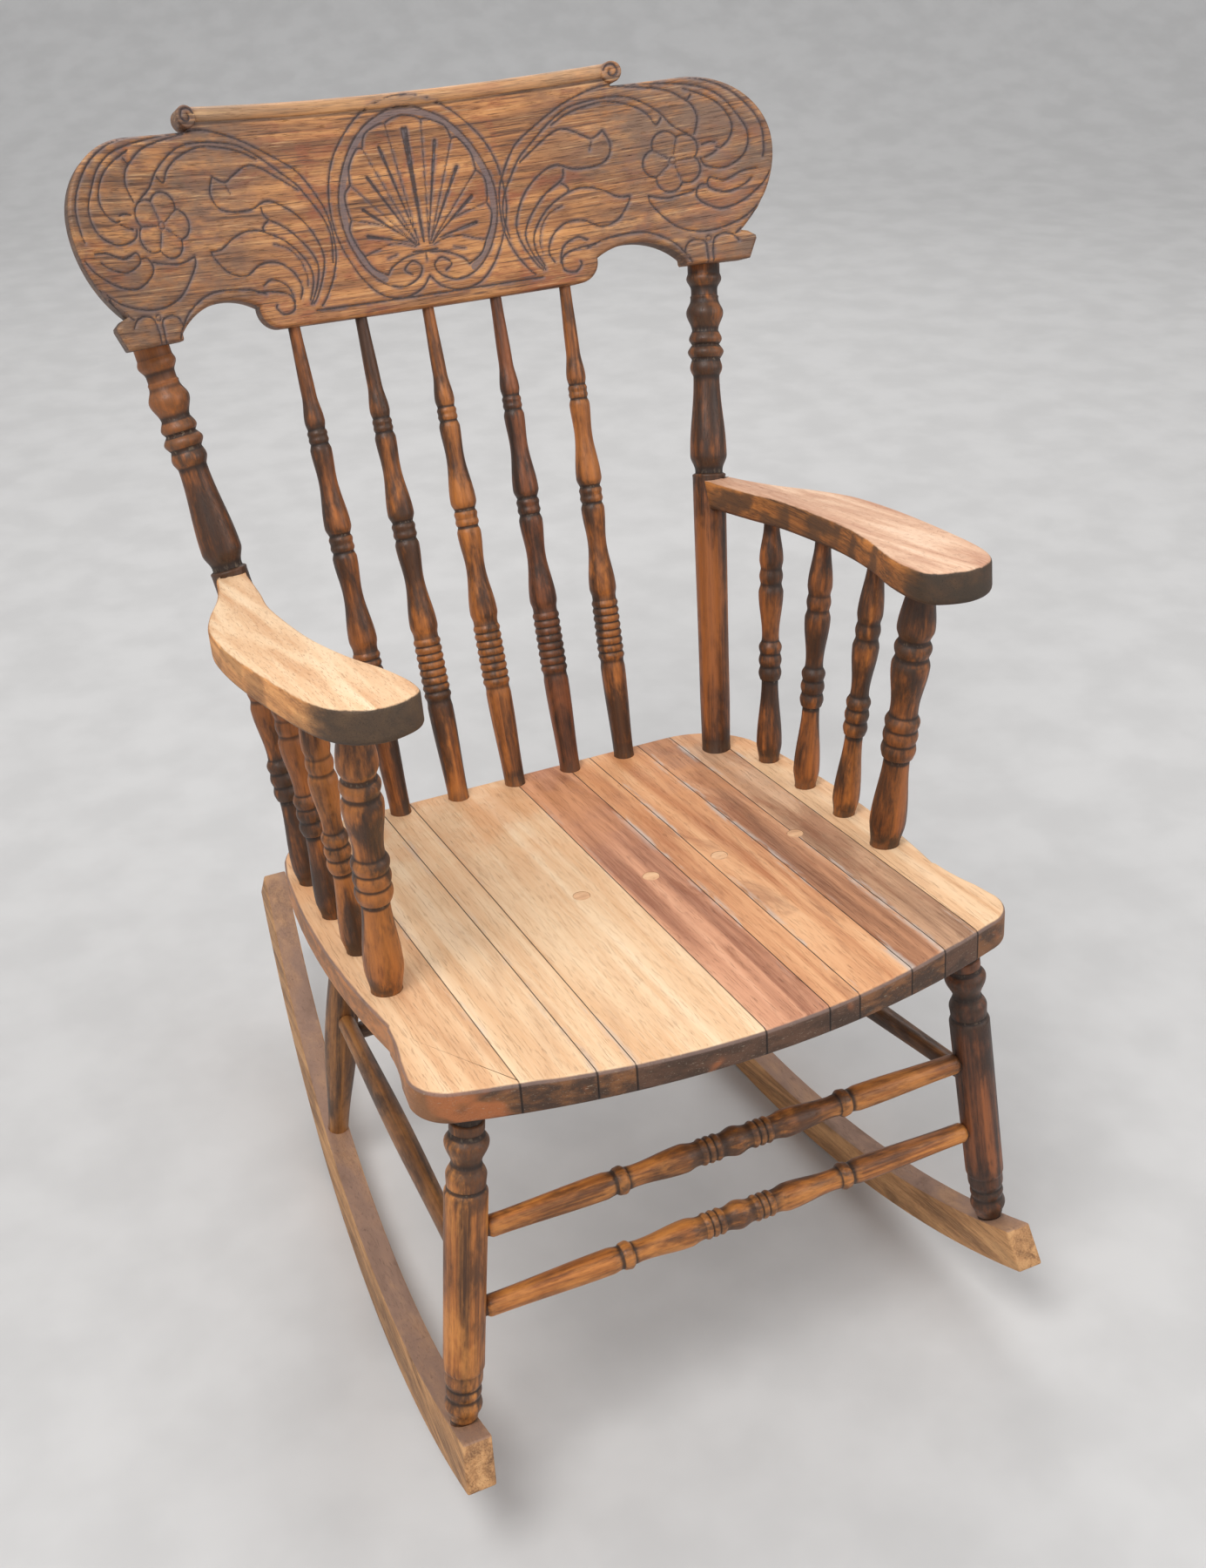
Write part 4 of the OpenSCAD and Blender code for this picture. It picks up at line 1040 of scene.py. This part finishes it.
rough = 0.45 + patch * 0.15 + edge.fade(1, 0) * 0.15
finished(board, finish.done(tone, rough, height - edge.fade(1, -0.4) * 0.8), "brown_wood",
         "crest_rail", angle=75)

# Screws
# Four steel wood screws, one behind each post at the arm and one behind each lap of the rail.

steel = Finish("steel")
place = steel.node("ShaderNodeTexCoord", {}, {}, "Object")
dull = steel.noise(place, (900, 900, 900), 3, 0.6)
steel.shader.inputs["Metallic"].default_value = 1
steel.done(steel.mix(dull.fade(0.45, 0.7), colour(150, 148, 145), colour(96, 78, 64)),
           0.38 + dull * 0.25, dull, 0.0001)
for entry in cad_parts["frame_screws"].material_slots:
    entry.material = steel.material

# Arms
# Two paddle-shaped arms sawn from thick board, broad and round in front, narrow where they fit
# against the posts. Tops sanded pale, sides and front ends still brown.


def arm_edge(low, high):
    """Picks edges between an arm's outer wall and its top or underside."""
    def rule(edge):
        flat = [f for f in edge.link_faces if abs(f.normal.z) > 0.9]
        wall = [f for f in edge.link_faces if abs(f.normal.z) < 0.3]
        if len(flat) != 1 or len(wall) != 1:
            return False
        heights = [v.co.z for v in wall[0].verts]
        return max(heights) - min(heights) > 0.019 and low < flat[0].normal.z < high
    return rule


ARM_TOPS = {
    LEFT: (colour(246, 214, 176), colour(238, 198, 155), colour(210, 156, 110)),
    RIGHT: (colour(244, 208, 178), colour(230, 186, 152), colour(192, 138, 108)),
}
ARM_SIDES = {
    LEFT: (colour(236, 172, 108), colour(214, 146, 86), colour(150, 98, 58)),
    RIGHT: (colour(206, 134, 66), colour(160, 98, 46), colour(88, 57, 34)),
}
for side, word in SIDES:
    arm = from_solid(f"{word}_arm", f"{word}_paddle")
    ease(arm, arm_edge(0.5, 1.1), 0.0035, 4)
    ease(arm, arm_edge(-1.1, -0.5), 0.006, 5)
    finish = Finish(f"{word}_paddle")
    place = finish.bench()
    x, y, z = finish.parts(place)
    grain = finish.whole(x + 2 * side, z, y)
    top, height = wood(finish, grain, *ARM_TOPS[side], coarse=1.5, contrast=0.5)
    rim, _ = wood(finish, grain, *ARM_SIDES[side], coarse=0.8)
    up = finish.facing_up()
    patch = finish.noise(place, (24, 12, 24), 4, 0.6, 0.4)
    speck = finish.noise(place, (160, 60, 160), 4, 0.65)
    # the old finish stayed in slanting stripes on the sides and dark round the front end
    stripe = finish.node("ShaderNodeTexWave", {"bands_direction": "DIAGONAL"}, {
        "Vector": place, "Scale": 9, "Distortion": 6, "Detail": 3, "Detail Scale": 1.6})
    stripes = (stripe * 0.25 + patch).fade(0.56, 0.74)
    rim = rim.mix(stripes * (0.35 if side == LEFT else 0.8), colour(84, 60, 40))
    front = (y - speck * 0.03).fade(-0.36, -0.41)
    rim = rim.mix(front * 0.92, colour(62, 51, 40))
    # painted shade: the faces turned down, the arm's underside and its rounding, are made darker
    rim = rim.mix(up.fade(-0.1, -0.6) * 0.6, colour(66, 50, 38))
    worn_top = (up + (patch - 0.5) * 0.5 + (speck - 0.5) * 0.4).fade(0.6, 0.9)
    tone = finish.mix(worn_top, rim, top)
    stain = finish.noise(place, (7, 5, 7), 4, 0.62, 0.5).fade(0.54, 0.7) * worn_top
    tone = tone.mix(stain * 0.35, ARM_TOPS[side][2])
    finished(arm, finish.done(tone, 0.6 + patch * 0.1, height),
             "pale_wood" if side == LEFT else "golden_wood", f"{word}_arm", angle=40)

# Floor, light and camera
# The chair stands on a plain pale floor under soft studio light.

FLOOR_SIZE, FLOOR_SHIFT, WALL_HIGH, COVE_R = (70, 48, 1), (0, -17, 0), 9, 3

take_only()
bpy.ops.mesh.primitive_plane_add(size=1)
floor = bpy.context.object
floor.name = "floor"
set_mode("EDIT")
bpy.ops.transform.resize(value=FLOOR_SIZE)
bpy.ops.transform.translate(value=FLOOR_SHIFT)
pick_edges(floor, lambda edge: all(v.co.y > 1 for v in edge.verts))
bpy.ops.mesh.extrude_region_move(TRANSFORM_OT_translate={"value": (0, 0, WALL_HIGH)})
pick_edges(floor, lambda edge: all(v.co.y > 1 and v.co.z < 1 for v in edge.verts))
bpy.ops.mesh.bevel(offset=COVE_R, segments=16)
take_all()
bpy.ops.transform.rotate(value=radians(23), orient_axis="Z", center_override=(0, 0, 0))
set_mode("OBJECT")
bpy.ops.object.shade_smooth_by_angle(angle=radians(40))
finish = Finish("floor")
place = finish.node("ShaderNodeTexCoord", {}, {}, "Object")
speckle = finish.noise(place, (9, 9, 9), 3, 0.5)
tone = finish.mix(speckle.fade(0.3, 0.7), colour(198, 196, 194), colour(206, 204, 202))
finish.done(tone, 0.85, speckle, 0.0002)
floor.data.materials.append(finish.material)


def soft_lamp(name, place, size, power):
    lamp = bpy.data.objects.new(name, bpy.data.lights.new(name, "AREA"))
    lamp.data.shape = "DISK"
    lamp.data.size = size
    lamp.data.energy = power
    lamp.location = place
    lamp.rotation_euler = (Vector((0, 0, 0.5)) - Vector(place)).to_track_quat("-Z", "Y").to_euler()
    bpy.context.collection.objects.link(lamp)


soft_lamp("key_lamp", (-1.5, -1.2, 3.3), 1.6, 63)
soft_lamp("fill_lamp", (2.4, -2.2, 2.2), 2.4, 26)
soft_lamp("back_lamp", (1.2, 2.8, 3.2), 2.4, 44)

world = bpy.data.worlds.new("studio")
bpy.context.scene.world = world
world.use_nodes = True
world.node_tree.nodes["Background"].inputs["Color"].default_value = (0.95, 0.97, 1, 1)
world.node_tree.nodes["Background"].inputs["Strength"].default_value = 0.7

# The camera's lens, axes and place were fitted to the chair's own lines, with the seat level
camera = bpy.data.objects.new("camera", bpy.data.cameras.new("camera"))
bpy.context.collection.objects.link(camera)
camera.data.lens = 41.405
camera.data.sensor_width = 36
tilt = Matrix.Rotation(-LEAN, 3, "X")
right = tilt @ Vector((0.9036007, -0.4236865, -0.0632107))
down = tilt @ Vector((-0.2362891, -0.3698827, -0.8985290))
forward = tilt @ Vector((0.3573140, 0.8268474, -0.4343387))
spot = STAND @ (Vector((-0.56054, -1.51597, 1.19423)) * 1000 - Vector((0, 0, 9.3)))
turn_to = Matrix((right, -down, -forward)).transposed()
camera.matrix_world = Matrix.Translation(spot) @ turn_to.to_4x4()
bpy.context.scene.camera = camera
bpy.context.scene.view_settings.view_transform = "Standard"
